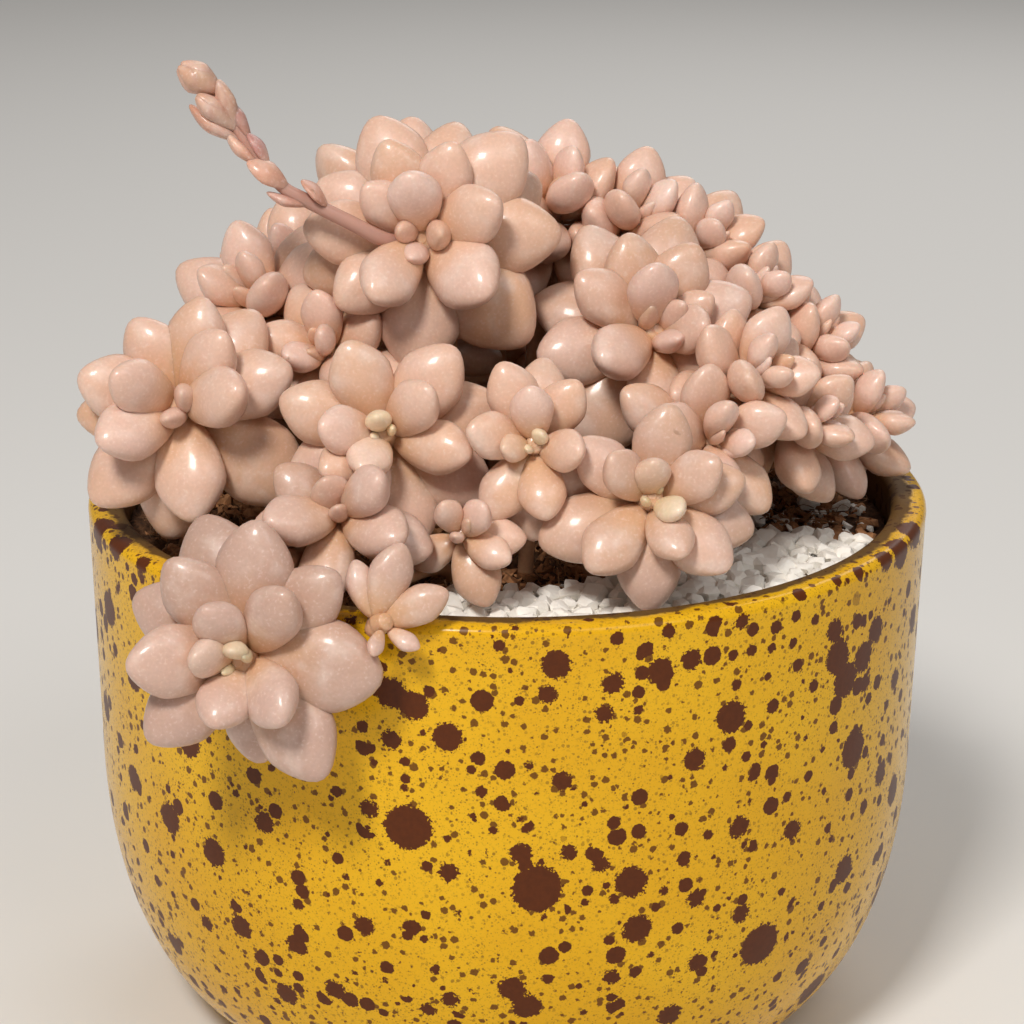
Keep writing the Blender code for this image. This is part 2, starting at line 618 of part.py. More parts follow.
class Crowd:
    """Every leaf of every stem, each with its fat part taken as an ellipsoid."""

    def __init__(self, stems):
        """Sets the leaves out as they grow."""
        grown = [(number, *leaf) for number, stem in enumerate(stems) for leaf in grown_leaves(stem)]
        self.owner = np.array([leaf[0] for leaf in grown])
        self.roots, self.ways, self.faces = (np.array([leaf[i] for leaf in grown]) for i in (1, 2, 3))
        self.lengths = np.array([leaf[4] for leaf in grown])
        self.root, self.way, self.face = self.roots, self.ways, self.faces
        self.length = self.lengths
        self.centre = self.middles()
        self.stick_owner, self.stick, self.stick_radius = stem_sticks(stems)

    def middles(self):
        """The middle of each leaf's fat part."""
        return self.root + self.way * (LEAF_MIDDLE * self.length)[:, None]

    def find_near(self):
        """Lists the pairs of leaves, and of leaves and stems, that may touch."""
        one, two = np.triu_indices(len(self.owner), 1)
        reach = LEAF_HALF * (self.length[one] + self.length[two]) + NEAR_LEAF
        near = np.linalg.norm(self.centre[one] - self.centre[two], axis=1) < reach
        self.one, self.two = one[near], two[near]
        self.same = self.owner[self.one] == self.owner[self.two]
        apart = np.linalg.norm(self.centre[:, None] - self.stick[None], axis=2)
        reach = (LEAF_HALF * self.length)[:, None] + NEAR_STEM
        others = self.owner[:, None] != self.stick_owner[None]
        self.leaf_at, self.stick_at = np.nonzero((apart < reach) & others)

    def pair_gaps(self, spread):
        """The gap between each near pair of leaves, and its direction."""
        between = self.centre[self.two] - self.centre[self.one]
        return leaf_gaps(spread[self.one], spread[self.two], between)

    def push_apart(self):
        """Moves the leaves off each other, the stems, the pot and the soil."""
        spread = spreads(self.way, self.face, self.length)
        gap, line = self.pair_gaps(spread)
        push = pushed(gap, np.where(self.same, -OWN_LAP, CLEAR), GIVE)[:, None]
        across = np.hypot(self.centre[:, 0], self.centre[:, 1])
        out = np.stack([self.centre[:, 0] / across, self.centre[:, 1] / across, 0 * across], 1)
        move = push_off_rim(self.centre, spread, across, out) + push_off_soil(self.centre, spread, across)
        np.add.at(move, self.one, -line * push)
        np.add.at(move, self.two, line * push)
        off = self.centre[self.leaf_at] - self.stick[self.stick_at]
        line = unit(off)
        gap = np.linalg.norm(off, axis=1) - half_depth(spread[self.leaf_at], line)
        push = pushed(gap - self.stick_radius[self.stick_at], CLEAR, GIVE)[:, None]
        np.add.at(move, self.leaf_at, line * push)
        self.centre = self.centre + np.clip(move, -MOST_MOVE, MOST_MOVE)

    def follow(self):
        """Bends and slides each leaf to where its middle was pushed, as far as it can go."""
        self.centre += PULL_HOME * (self.roots + self.ways * (LEAF_MIDDLE * self.length)[:, None] - self.centre)
        stretch = self.centre - self.roots
        new_way = unit(stretch)
        straight = np.clip((new_way * self.ways).sum(1), -1, 1)
        sideways = unit(new_way - straight[:, None] * self.ways + 1e-9)
        bent = math.cos(MOST_BEND) * self.ways + math.sin(MOST_BEND) * sideways
        self.way = np.where((straight < math.cos(MOST_BEND))[:, None], bent, new_way)
        slide = (stretch * self.way).sum(1) - LEAF_MIDDLE * self.length
        most = MOST_SLIDE * self.length
        self.root = self.roots + self.way * np.clip(slide, -most, most)[:, None]
        self.face = unit(self.faces - (self.faces * self.way).sum(1)[:, None] * self.way)
        self.centre = np.round(self.middles(), 8)

    def shrink(self):
        """Makes leaves that still cross a little smaller."""
        gap, _ = self.pair_gaps(spreads(self.way, self.face, self.length))
        lack = np.clip(np.where(self.same, -OWN_LAP, TIGHT) - gap, 0, None)
        worst = np.zeros(len(self.owner))
        np.maximum.at(worst, self.one, lack)
        np.maximum.at(worst, self.two, lack)
        share = 1 - np.clip(GIVE * worst / self.length, 0, MOST_SHRINK)
        self.length = np.maximum(self.length * share, SMALLEST * self.lengths)

    def leaves(self, number):
        """One stem's leaves: anchor, root, way, face and length."""
        anchor = self.roots - self.way * (ROOT_SINK * self.length)[:, None]
        return [(anchor[i], self.root[i], self.way[i], self.face[i], self.length[i])
                for i in np.nonzero(self.owner == number)[0]]


def settle(stems):
    """Lets the crowded leaves bend, slide and stay smaller until no two stems' leaves cross."""
    crowd = Crowd(stems)
    for turn in range(ROUNDS):
        if turn % NEAR_EVERY == 0:
            crowd.find_near()
        crowd.push_apart()
        crowd.follow()
        if turn > SHRINK_AFTER and turn % SHRINK_EVERY == 0:
            crowd.shrink()
    return [crowd.leaves(number) for number in range(len(stems))]


def leaf_mesh(anchor, root, way, face, length, width=LEAF_WIDTH, thick=LEAF_THICK):
    """A plump leaf: a ball drawn out, fullest past its middle, its narrow end drawn in to its anchor."""
    form = bmesh.new()
    bmesh.ops.create_uvsphere(form, u_segments=LEAF_SIDES, v_segments=LEAF_RINGS, radius=1.0)
    across = np.cross(face, way)
    middle = root + way * LEAF_MIDDLE * length
    for vert in form.verts:
        x, y, z = vert.co
        if z > 0:
            line = middle + (way * LEAF_HALF * z + face * LEAF_HOOK * z ** 2) * length
            narrow = 1.0
        else:
            line = middle - (anchor - middle) * z
            narrow = 1 + NECK * z
        girth = (across * x * width + face * y * thick) * narrow * length / 2
        vert.co = Vector(line + girth)
    return mesh_of(form, "leaf")


def core_mesh(stem):
    """The short thick end of a stem, which the leaves' roots are sunk in."""
    form = bmesh.new()
    bmesh.ops.create_uvsphere(form, u_segments=CORE_SIDES, v_segments=CORE_RINGS, radius=1.0)
    half = stem.reach / 2 + (CORE_BACK + CORE_FRONT) * stem.leaf
    wide = CORE_SHARE * stem.leaf
    centre = Vector(np.array(stem.apex) - stem.axis * (stem.reach / 2 + CORE_BACK * stem.leaf))
    turn = Vector(stem.axis).to_track_quat("Z", "Y").to_matrix().to_4x4()
    form.transform(Matrix.Translation(centre) @ turn @ Matrix.Diagonal((wide, wide, half, 1.0)))
    return mesh_of(form, "core")


def tube(name, path, radius, swells, holder):
    """A six-sided stem along a line, with its own swell at each point."""
    curve = bpy.data.curves.new(name, "CURVE")
    curve.dimensions = "3D"
    curve.bevel_depth = radius
    curve.bevel_resolution = 1
    curve.use_fill_caps = True
    spline = curve.splines.new("POLY")
    spline.points.add(len(path) - 1)
    for point, place, swell in zip(spline.points, path, swells):
        point.co = (*place, 1.0)
        point.radius = swell
    thing = bpy.data.objects.new(name, curve)
    holder.objects.link(thing)
    mesh = evaluated(thing, name)
    bpy.data.objects.remove(thing)
    form = bmesh.new()
    form.from_mesh(mesh)
    bmesh.ops.remove_doubles(form, verts=form.verts, dist=PIECE_MERGE)
    return mesh_of(form, name)


def larger_leaves(stem, leaves):
    """A stem's leaves without the small ones at its growing point."""
    if stem.seen:
        return [leaf for leaf, (_, _, share) in zip(leaves, stem.seen) if share > TINY_LEAF]
    return [leaf for number, leaf in enumerate(leaves) if number not in INNER_LEAVES]


def leafy_stem(stem, leaves, holder, finish):
    """One stem with its leaves, as one solid."""
    path = stem_path(stem)
    pieces = [tube(stem.name, path, stem.radius, [1.0] * len(path), holder), core_mesh(stem)]
    pieces += [leaf_mesh(*leaf) for leaf in larger_leaves(stem, leaves)]
    return fused("stem_" + stem.name, pieces, holder, finish)


def soil_profile():
    """The soil's section, a gap inside the pot's own."""
    top = [(ring_radius(ring), SOIL_LEVEL) for ring in range(SOIL_RINGS + 1)]
    heights = [z for z in curve_heights() if FLOOR + CURVE_START < z < SOIL_LEVEL]
    side = [(inner_radius(z) - GAP, z) for z in heights]
    bottom = [(inner_radius(FLOOR) - FLOOR_INSET - GAP, FLOOR + GAP), (0.0, FLOOR + GAP)]
    return top + side + bottom


def soil(stems, holder, cutters):
    """The soil: it fills the pot to the gap, with a plain hole for each stem."""
    body = turned("soil_turned", soil_profile(), SOIL_STEPS, holder)
    mesh = evaluated(body, "soil")
    bpy.data.objects.remove(body)
    for vert in mesh.vertices:
        if vert.co.z > SOIL_LEVEL - GAP:
            vert.co.z = soil_height(vert.co.x, vert.co.y)
    thing = put("soil", mesh, holder, material("dark_soil", (0.075, 0.042, 0.026), 0.95))
    for stem in stems:
        foot = stem_path(stem)[0]
        place = (foot[0], foot[1], foot[2] - GAP + DRILL_LENGTH / 2)
        radius = (stem.radius + GAP) / math.cos(math.pi / HOLE_SIDES)
        drill("hole_" + stem.name, radius, DRILL_LENGTH, HOLE_SIDES, place, cutters)
    cut(thing, "holes", cutters)


def bed_row(form, ring):
    """One curved row of points of the gravel bed's lower face."""
    radius = ring_radius(ring) - (BED_INSET if ring == GRAVEL_RINGS[1] else 0)
    step = 360 / SOIL_STEPS
    row = []
    for turn in range(int(GRAVEL_FROM / step), int(GRAVEL_TO / step) + 1):
        x = radius * math.cos(math.radians(turn * step))
        y = radius * math.sin(math.radians(turn * step))
        row.append(form.verts.new((x, y, soil_height(x, y) + GAP)))
    return row


def gravel_bed():
    """The thin bed under the pebbles: a patch that follows the soil's own surface, a gap above it."""
    form = bmesh.new()
    rows = [bed_row(form, ring) for ring in range(GRAVEL_RINGS[0], GRAVEL_RINGS[1] + 1)]
    for low, high in zip(rows[:-1], rows[1:]):
        for i in range(len(low) - 1):
            form.faces.new((low[i], high[i], high[i + 1], low[i + 1]))
    bmesh.ops.recalc_face_normals(form, faces=form.faces)
    raised = bmesh.ops.extrude_face_region(form, geom=list(form.faces))
    for item in raised["geom"]:
        if isinstance(item, bmesh.types.BMVert):
            item.co.z += GRAVEL_BED
    bmesh.ops.recalc_face_normals(form, faces=form.faces)
    return mesh_of(form, "gravel_bed")


def pebble(draw, place):
    """One angular pebble, turned and flattened by the draw, partly sunk in the bed."""
    size = PEBBLE_RADIUS * draw.uniform(*PEBBLE_SIZES)
    form = bmesh.new()
    bmesh.ops.create_uvsphere(form, u_segments=4, v_segments=3, radius=size)
    turn = Matrix.Rotation(draw.uniform(0, math.tau), 4, Vector([draw.uniform(-1, 1) for _ in range(3)]))
    long, wide, high = PEBBLE_FORM
    flat = Matrix.Diagonal((draw.uniform(*long), draw.uniform(*wide), high, 1.0))
    height = soil_height(*place) + GAP + GRAVEL_BED + PEBBLE_RISE * size
    form.transform(Matrix.Translation((*place, height)) @ flat @ turn)
    return mesh_of(form, "pebble")


def gravel(stems, holder, finish):
    """White gravel: a thin bed with pebbles sunk in it, clear of the stems."""
    draw = random.Random(SEED)
    pieces = [gravel_bed()]
    feet = [stem_path(stem)[0][:2] for stem in stems]
    places = []
    inner = ring_radius(GRAVEL_RINGS[0]) + PEBBLE_RADIUS
    outer = ring_radius(GRAVEL_RINGS[1]) - PEBBLE_INSET * PEBBLE_RADIUS
    while len(places) < PEBBLES:
        radius = math.sqrt(draw.uniform(inner ** 2, outer ** 2))
        degrees = draw.uniform(GRAVEL_FROM + PEBBLE_ANGLE_INSET, GRAVEL_TO - PEBBLE_ANGLE_INSET)
        angle = math.radians(degrees)
        place = np.array([radius * math.cos(angle), radius * math.sin(angle)])
        beside = any(np.linalg.norm(place - other) < PEBBLE_SPACING * PEBBLE_RADIUS for other in places)
        by_stem = any(np.linalg.norm(place - foot) < PEBBLE_TO_STEM for foot in feet)
        if not beside and not by_stem:
            places.append(place)
            pieces.append(pebble(draw, place))
    return fused("gravel", pieces, holder, finish)


def bract(line, number):
    """One small pointed bract of the flower stalk, leaning along it."""
    low, high = BRACT_RANGE
    at = int((low + (high - low) * number / (BRACTS - 1)) * (len(line) - 1))
    ahead = line[at + 1] - line[at - 1]
    ahead /= np.linalg.norm(ahead)
    aside = np.cross(ahead, [0.0, 0.0, 1.0])
    aside /= np.linalg.norm(aside)
    above = np.cross(aside, ahead)
    angle = math.radians(SPIRAL * number)
    out = math.cos(angle) * aside + math.sin(angle) * above
    way = math.cos(BRACT_LEAN) * ahead + math.sin(BRACT_LEAN) * out
    face = math.sin(BRACT_LEAN) * ahead - math.cos(BRACT_LEAN) * out
    root = line[at] + out * BRACT_OUT
    return leaf_mesh(line[at], root, way, face, BRACT_LENGTH, BRACT_WIDTH, BRACT_THICK)


def bud(path, back, forward, right, front, length):
    """One flower bud, a plump ball of pointed sepals."""
    ahead = path[-1] - path[-2]
    ahead /= np.linalg.norm(ahead)
    way = forward * ahead + right * np.array(BUD_RIGHT) + front * np.array(BUD_FRONT)
    way /= np.linalg.norm(way)
    face = np.cross(way, BUD_RIGHT)
    face /= np.linalg.norm(face)
    return leaf_mesh(path[-back], path[-back], way, face, length, BUD_PLUMP, BUD_PLUMP)


def flower_stalk(holder, finish):
    """The flower stalk: a tapering stem with small pointed bracts, and plump buds at its end."""
    path = [np.array(point) for point in STALK_PATH]
    thick, thin = STALK_TAPER
    taper = [thick + (thin - thick) * i / (len(path) - 1) for i in range(len(path))]
    line = along(path, STALK_STEP)
    pieces = [tube("stalk", path, STALK_RADIUS, taper, holder)]
    pieces += [bract(line, number) for number in range(BRACTS)]
    pieces += [bud(path, *plan) for plan in BUDS]
    return fused("flower_stalk", pieces, holder, finish)


clear_scene()
PART = collection("potted_graptopetalum")
DRAINS = collection("drain_cutters")
HOLES = collection("hole_cutters")
LEAF_FINISH = material("pale_pink_leaf", (0.78, 0.55, 0.46), 0.45)
FLOWER_FINISH = material("mauve_stalk", (0.66, 0.38, 0.34), 0.5)
GRAVEL_FINISH = material("white_gravel", (0.80, 0.78, 0.74), 0.85)
pot(PART, DRAINS)
soil(STEMS, PART, HOLES)
gravel(STEMS, PART, GRAVEL_FINISH)
for grown_stem, settled in zip(STEMS, settle(STEMS)):
    leafy_stem(grown_stem, settled, PART, LEAF_FINISH)
flower_stalk(PART, FLOWER_FINISH)
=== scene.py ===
"""Dresses the potted graptopetalum: a speckled glazed pot, soil, white gravel, leafy stems, a flower stalk.

Metres, +Z up, the origin at the centre of the pot's flat foot, the plant's best side towards -Y.
"""
import logging
import math
import random
from dataclasses import dataclass, field
from enum import Enum
from typing import Any, Callable, Sequence

import bmesh
import bpy
import numpy as np
from bpy.types import ColorRamp, Material, Mesh, NodeInputs, NodeSocket, NodeTree, Object
from mathutils import Matrix, Vector, noise


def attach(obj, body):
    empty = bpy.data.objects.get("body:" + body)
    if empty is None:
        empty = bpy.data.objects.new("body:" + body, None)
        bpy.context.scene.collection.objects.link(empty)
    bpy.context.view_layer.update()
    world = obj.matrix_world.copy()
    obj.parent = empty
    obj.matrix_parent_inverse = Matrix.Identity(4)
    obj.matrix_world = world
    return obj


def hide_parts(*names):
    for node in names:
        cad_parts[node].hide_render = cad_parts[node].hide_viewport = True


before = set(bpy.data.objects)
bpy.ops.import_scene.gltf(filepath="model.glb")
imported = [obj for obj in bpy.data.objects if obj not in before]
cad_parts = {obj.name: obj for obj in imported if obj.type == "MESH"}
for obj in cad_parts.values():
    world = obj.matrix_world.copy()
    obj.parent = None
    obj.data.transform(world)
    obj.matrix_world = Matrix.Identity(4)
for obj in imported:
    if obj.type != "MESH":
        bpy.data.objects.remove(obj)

LOG = logging.getLogger("potted_graptopetalum")
BODY = "root"
SPIRAL = 137.5
VIEW_RISE = math.radians(18.3)
MILLIMETRE = 0.001
WALL_CLEAR = 0.0012
POINT_SPACING = 0.0012
Colour = tuple[float, float, float]
Array = np.ndarray


class Slot(Enum):
    """The material slots of the record."""
    GLAZE = "glaze"
    SOIL = "soil"
    GRAVEL = "gravel"
    LEAF = "leaf"
    STALK = "stalk"


# Node trees

class Wire:
    """An outlet of a node, which takes part in expressions."""

    def __init__(self, tree: "Tree", outlet: NodeSocket) -> None:
        """Keeps the tree and the outlet."""
        self.tree = tree
        self.outlet = outlet

    def __add__(self, other: Any) -> "Wire":
        """The sum."""
        return self.tree.maths("ADD", self, other)

    def __radd__(self, other: Any) -> "Wire":
        """The sum, from the right."""
        return self.tree.maths("ADD", other, self)

    def __sub__(self, other: Any) -> "Wire":
        """The difference."""
        return self.tree.maths("SUBTRACT", self, other)

    def __mul__(self, other: Any) -> "Wire":
        """The product."""
        return self.tree.maths("MULTIPLY", self, other)

    def __rmul__(self, other: Any) -> "Wire":
        """The product, from the right."""
        return self.tree.maths("MULTIPLY", other, self)

    def __truediv__(self, other: Any) -> "Wire":
        """The quotient."""
        return self.tree.maths("DIVIDE", self, other)

    def __pow__(self, other: Any) -> "Wire":
        """The power."""
        return self.tree.maths("POWER", self, other)

    def most(self, other: Any) -> "Wire":
        """The larger of two."""
        return self.tree.maths("MAXIMUM", self, other)

    def least(self, other: Any) -> "Wire":
        """The smaller of two."""
        return self.tree.maths("MINIMUM", self, other)

    def beside(self, name: str) -> "Wire":
        """Another outlet of the same node."""
        return Wire(self.tree, pick(self.outlet.node.outputs, name))


class Tree:
    """A node tree that is built by expressions and by one method for every other node."""

    def __init__(self, nodes: NodeTree) -> None:
        """Keeps the node tree."""
        self.nodes = nodes

    def feed(self, socket: NodeSocket, value: Any) -> None:
        """Links a wire to a socket, or sets the socket's own value.

        Args:
            socket: The socket.
            value: A wire, or a value of the socket's kind.
        """
        if isinstance(value, Wire):
            self.nodes.links.new(value.outlet, socket)
        elif socket.type == "RGBA" and len(value) == 3:
            socket.default_value = (*value, 1.0)
        else:
            socket.default_value = value

    def node(self, kind: str, settings: dict[str, Any] | None = None,
             inputs: dict[str | int, Any] | None = None, out: str | int = 0) -> Wire:
        """Adds a node.

        Args:
            kind: The node's type.
            settings: Its own settings, set first; "stops" are a ramp's places and colours.
            inputs: Values or wires for its sockets, by name or number.
            out: The name or number of the outlet wanted.

        Returns:
            The wire of that outlet.
        """
        made = self.nodes.nodes.new(kind)
        for name, value in (settings or {}).items():
            if name == "stops":
                self.set_stops(made.color_ramp, value)
            else:
                setattr(made, name, value)
        for name, value in (inputs or {}).items():
            for item in value if isinstance(value, list) else [value]:
                self.feed(pick(made.inputs, name), item)
        return Wire(self, pick(made.outputs, out))

    @staticmethod
    def set_stops(ramp: ColorRamp, stops: Sequence[tuple[float, Colour]]) -> None:
        """Gives a colour ramp its stops.

        Args:
            ramp: The ramp.
            stops: The place and the colour of each.
        """
        while len(ramp.elements) < len(stops):
            ramp.elements.new(0.5)
        for element, (place, colour) in zip(ramp.elements, stops):
            element.position = place
            element.color = (*colour, 1.0)

    def maths(self, operation: str, *values: Any) -> Wire:
        """Adds a Math node, or a Vector Math node where a value is a vector.

        Args:
            operation: The node's operation.
            values: Numbers, vectors or wires.

        Returns:
            The result's wire.
        """
        many = [isinstance(v, tuple) or (isinstance(v, Wire) and v.outlet.type == "VECTOR") for v in values]
        if not any(many):
            return self.node("ShaderNodeMath", {"operation": operation}, dict(enumerate(values)))
        if operation == "MULTIPLY" and not all(many):
            vector, number = values if many[0] else values[::-1]
            return self.node("ShaderNodeVectorMath", {"operation": "SCALE"}, {0: vector, "Scale": number})
        full = [v if is_vector or isinstance(v, Wire) else (v, v, v) for v, is_vector in zip(values, many)]
        return self.node("ShaderNodeVectorMath", {"operation": operation}, dict(enumerate(full)))

    def blend(self, factor: Any, first: Any, second: Any) -> Wire:
        """Mixes two colours by a factor."""
        return self.node("ShaderNodeMix", {"data_type": "RGBA"}, {0: factor, 6: first, 7: second}, 2)

    def step(self, value: Any, low: float, high: float, start: float = 0.0, end: float = 1.0) -> Wire:
        """A smooth step from start to end as a value goes from low to high."""
        ends = {"From Min": low, "From Max": high, "To Min": start, "To Max": end}
        return self.node("ShaderNodeMapRange", {"interpolation_type": "SMOOTHSTEP"}, {"Value": value, **ends})

    def place(self) -> Wire:
        """The place on the object, in metres."""
        return self.node("ShaderNodeTexCoord", out="Object")

    def attribute(self, name: str) -> Wire:
        """A number that the surface carries."""
        return self.node("ShaderNodeAttribute", {"attribute_name": name}, out="Fac")

    def vector(self, x: Any, y: Any, z: Any) -> Wire:
        """Three numbers as a vector."""
        return self.node("ShaderNodeCombineXYZ", None, {"X": x, "Y": y, "Z": z})

    def part(self, vector: Wire, name: str) -> Wire:
        """One part of a vector, X, Y or Z."""
        return self.node("ShaderNodeSeparateXYZ", None, {"Vector": vector}, name)

    def length(self, vector: Wire) -> Wire:
        """A vector's length."""
        return self.node("ShaderNodeVectorMath", {"operation": "LENGTH"}, {0: vector}, "Value")

    def parts(self, colour: Wire) -> Wire:
        """A colour's red, green and blue as a vector."""
        red = self.node("ShaderNodeSeparateColor", None, {"Color": colour}, "Red")
        return self.vector(red, red.beside("Green"), red.beside("Blue"))

    def grain(self, scale: float, detail: float = 2.0, at: Wire | None = None, rough: float = 0.5) -> Wire:
        """Soft noise from 0 to 1, with so many features a metre."""
        ends = {"Vector": at or self.place(), "Scale": scale, "Detail": detail, "Roughness": rough}
        return self.node("ShaderNodeTexNoise", None, ends, 0)

    def bump(self, height: Wire, strength: float, distance: float) -> Wire:
        """A normal that follows a height."""
        ends = {"Strength": strength, "Distance": distance, "Height": height}
        return self.node("ShaderNodeBump", None, ends, "Normal")


def pick(sockets: Any, name: str | int) -> NodeSocket:
    """Finds a socket by its number, or the first one in use by its name.

    Args:
        sockets: A node's inputs or outputs.
        name: The number or the name.

    Returns:
        The socket.
    """
    if isinstance(name, int):
        return sockets[name]
    return next(socket for socket in sockets if socket.name == name and socket.enabled)


def placed(name: str, data: Any) -> Object:
    """Makes an object and links it to the scene.

    Args:
        name: The object's name.
        data: Its mesh, lamp or camera.

    Returns:
        The object.
    """
    thing = bpy.data.objects.new(name, data)
    bpy.context.scene.collection.objects.link(thing)
    return thing


def worked_mesh(thing: Object) -> Mesh:
    """Takes an object's mesh as its modifiers leave it.

    Args:
        thing: The object.

    Returns:
        A plain mesh.
    """
    bpy.context.view_layer.update()
    graph = bpy.context.evaluated_depsgraph_get()
    return bpy.data.meshes.new_from_object(thing.evaluated_get(graph))


def closed_form(name: str, form: bmesh.types.BMesh) -> Mesh:
    """Ends the work on a form.

    Args:
        name: The mesh's name.
        form: The form, which is freed.

    Returns:
        Its mesh.
    """
    mesh = bpy.data.meshes.new(name)
    form.to_mesh(mesh)
    form.free()
    return mesh


class Recipe:
    """A geometry tree with named sizes, which turns a mesh into a finished piece."""

    KINDS = {int: "NodeSocketInt", float: "NodeSocketFloat", Material: "NodeSocketMaterial"}

    def __init__(self, name: str, sizes: dict[str, Any]) -> None:
        """Opens the tree and gives it an input for each named size.

        Args:
            name: The tree's name.
            sizes: The named sizes, whole numbers, lengths or materials.
        """
        self.group = bpy.data.node_groups.new(name, "GeometryNodeTree")
        self.group.interface.new_socket("Geometry", in_out="INPUT", socket_type="NodeSocketGeometry")
        self.group.interface.new_socket("Geometry", in_out="OUTPUT", socket_type="NodeSocketGeometry")
        self.values = {}
        for label, value in sizes.items():
            kind = next(kind for type_, kind in self.KINDS.items() if isinstance(value, type_))
            socket = self.group.interface.new_socket(label, in_out="INPUT", socket_type=kind)
            self.values[socket.identifier] = value
        self.tree = Tree(self.group)
        self.inlet = self.group.nodes.new("NodeGroupInput")
        self.outlet = self.group.nodes.new("NodeGroupOutput")

    def size(self, label: str) -> Wire:
        """The wire of a named size, or of the geometry itself."""
        return Wire(self.tree, self.inlet.outputs[label])

    def carried(self, name: str, vector: bool = False) -> Wire:
        """A named value that the points carry."""
        kept = {"data_type": "FLOAT_VECTOR" if vector else "FLOAT"}
        return self.tree.node("GeometryNodeInputNamedAttribute", kept, {"Name": name}, "Attribute")

    def keep(self, geometry: Wire, name: str, value: Any) -> Wire:
        """Stores a number on the geometry's points under a name."""
        return self.tree.node("GeometryNodeStoreNamedAttribute", {"data_type": "FLOAT", "domain": "POINT"},
                              {"Geometry": geometry, "Name": name, "Value": value})

    def draw(self, low: Any, high: Any, seed: int, kind: str = "FLOAT") -> Wire:
        """A random value for each element, from a fixed seed."""
        return self.tree.node("FunctionNodeRandomValue", {"data_type": kind},
                              {"Min": low, "Max": high, "Seed": seed}, "Value")

    def strew(self, points: Wire, forms: Sequence[Wire], index: Wire, lean: Wire, size: Wire) -> Wire:
        """Sets one of several forms on each point.

        Args:
            points: The points.
            forms: The forms, each an instance.
            index: The number of the form for each point.
            lean: The angles by which it is turned.
            size: Its scale.

        Returns:
            The instances.
        """
        shapes = self.tree.node("GeometryNodeJoinGeometry", None, {"Geometry": forms[::-1]})
        turn = self.tree.node("FunctionNodeEulerToRotation", None, {"Euler": lean})
        return self.tree.node("GeometryNodeInstanceOnPoints", None, {
            "Points": points, "Instance": shapes, "Pick Instance": True, "Instance Index": index,
            "Rotation": turn, "Scale": size})

    def close(self, geometry: Wire, smooth: bool, material: str) -> None:
        """Ends the tree: instances made real, shading set, material set.

        Args:
            geometry: What the tree has made.
            smooth: Whether it is shaded smooth.
            material: The named input that holds the material.
        """
        real = self.tree.node("GeometryNodeRealizeInstances", None, {"Geometry": geometry})
        ends = {"Geometry": real, "Shade Smooth": smooth}
        shaded = self.tree.node("GeometryNodeSetShadeSmooth", None, ends)
        dressed = self.tree.node("GeometryNodeSetMaterial", None,
                                 {"Geometry": shaded, "Material": self.size(material)})
        self.tree.feed(self.outlet.inputs["Geometry"], dressed)

    def make(self, name: str, mesh: Mesh, spent: Sequence[str] = ()) -> Object:
        """Runs the tree on a mesh.

        Args:
            name: The finished piece's name.
            mesh: The mesh that the tree works on.
            spent: Named values that only the tree needs.

        Returns:
            An object with the plain finished mesh.
        """
        thing = placed(name, mesh)
        work = thing.modifiers.new("recipe", "NODES")
        work.node_group = self.group
        for identifier, value in self.values.items():
            work[identifier] = value
        made = worked_mesh(thing)
        made.name = name
        thing.modifiers.remove(work)
        thing.data = made
        for label in spent:
            if label in made.attributes:
                made.attributes.remove(made.attributes[label])
        return thing


def declare(thing: Object, slot: Slot, *nodes: str) -> Object:
    """Lets a finished piece ride on the part and stand for its CAD nodes.

    Args:
        thing: The finished piece.
        slot: The record's slot; not used.
        nodes: The CAD nodes that it stands for.

    Returns:
        The same piece.
    """
    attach(thing, BODY)
    if nodes:
        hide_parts(*nodes)
    LOG.info("%s: %d faces", thing.name, len(thing.data.polygons))
    return thing


# Finishes

@dataclass(frozen=True)
class Finish:
    """A surface's finish. Each kind adds what changes over it."""
    name: str
    roughness: float = 0.5
    specular: float = 0.5

    def material(self) -> Material:
        """Builds the material.

        Returns:
            The material, its constant values set and the rest fed by shade.
        """
        made = bpy.data.materials.new(self.name)
        made.use_nodes = True
        shader = made.node_tree.nodes["Principled BSDF"]
        shader.inputs["Roughness"].default_value = self.roughness
        shader.inputs["Specular IOR Level"].default_value = self.specular
        self.shade(Tree(made.node_tree), shader.inputs)
        return made

    def shade(self, tree: Tree, sockets: NodeInputs) -> None:
        """Feeds the shader's sockets with what changes over the surface.

        Args:
            tree: The material's tree.
            sockets: The shader's sockets.
        """


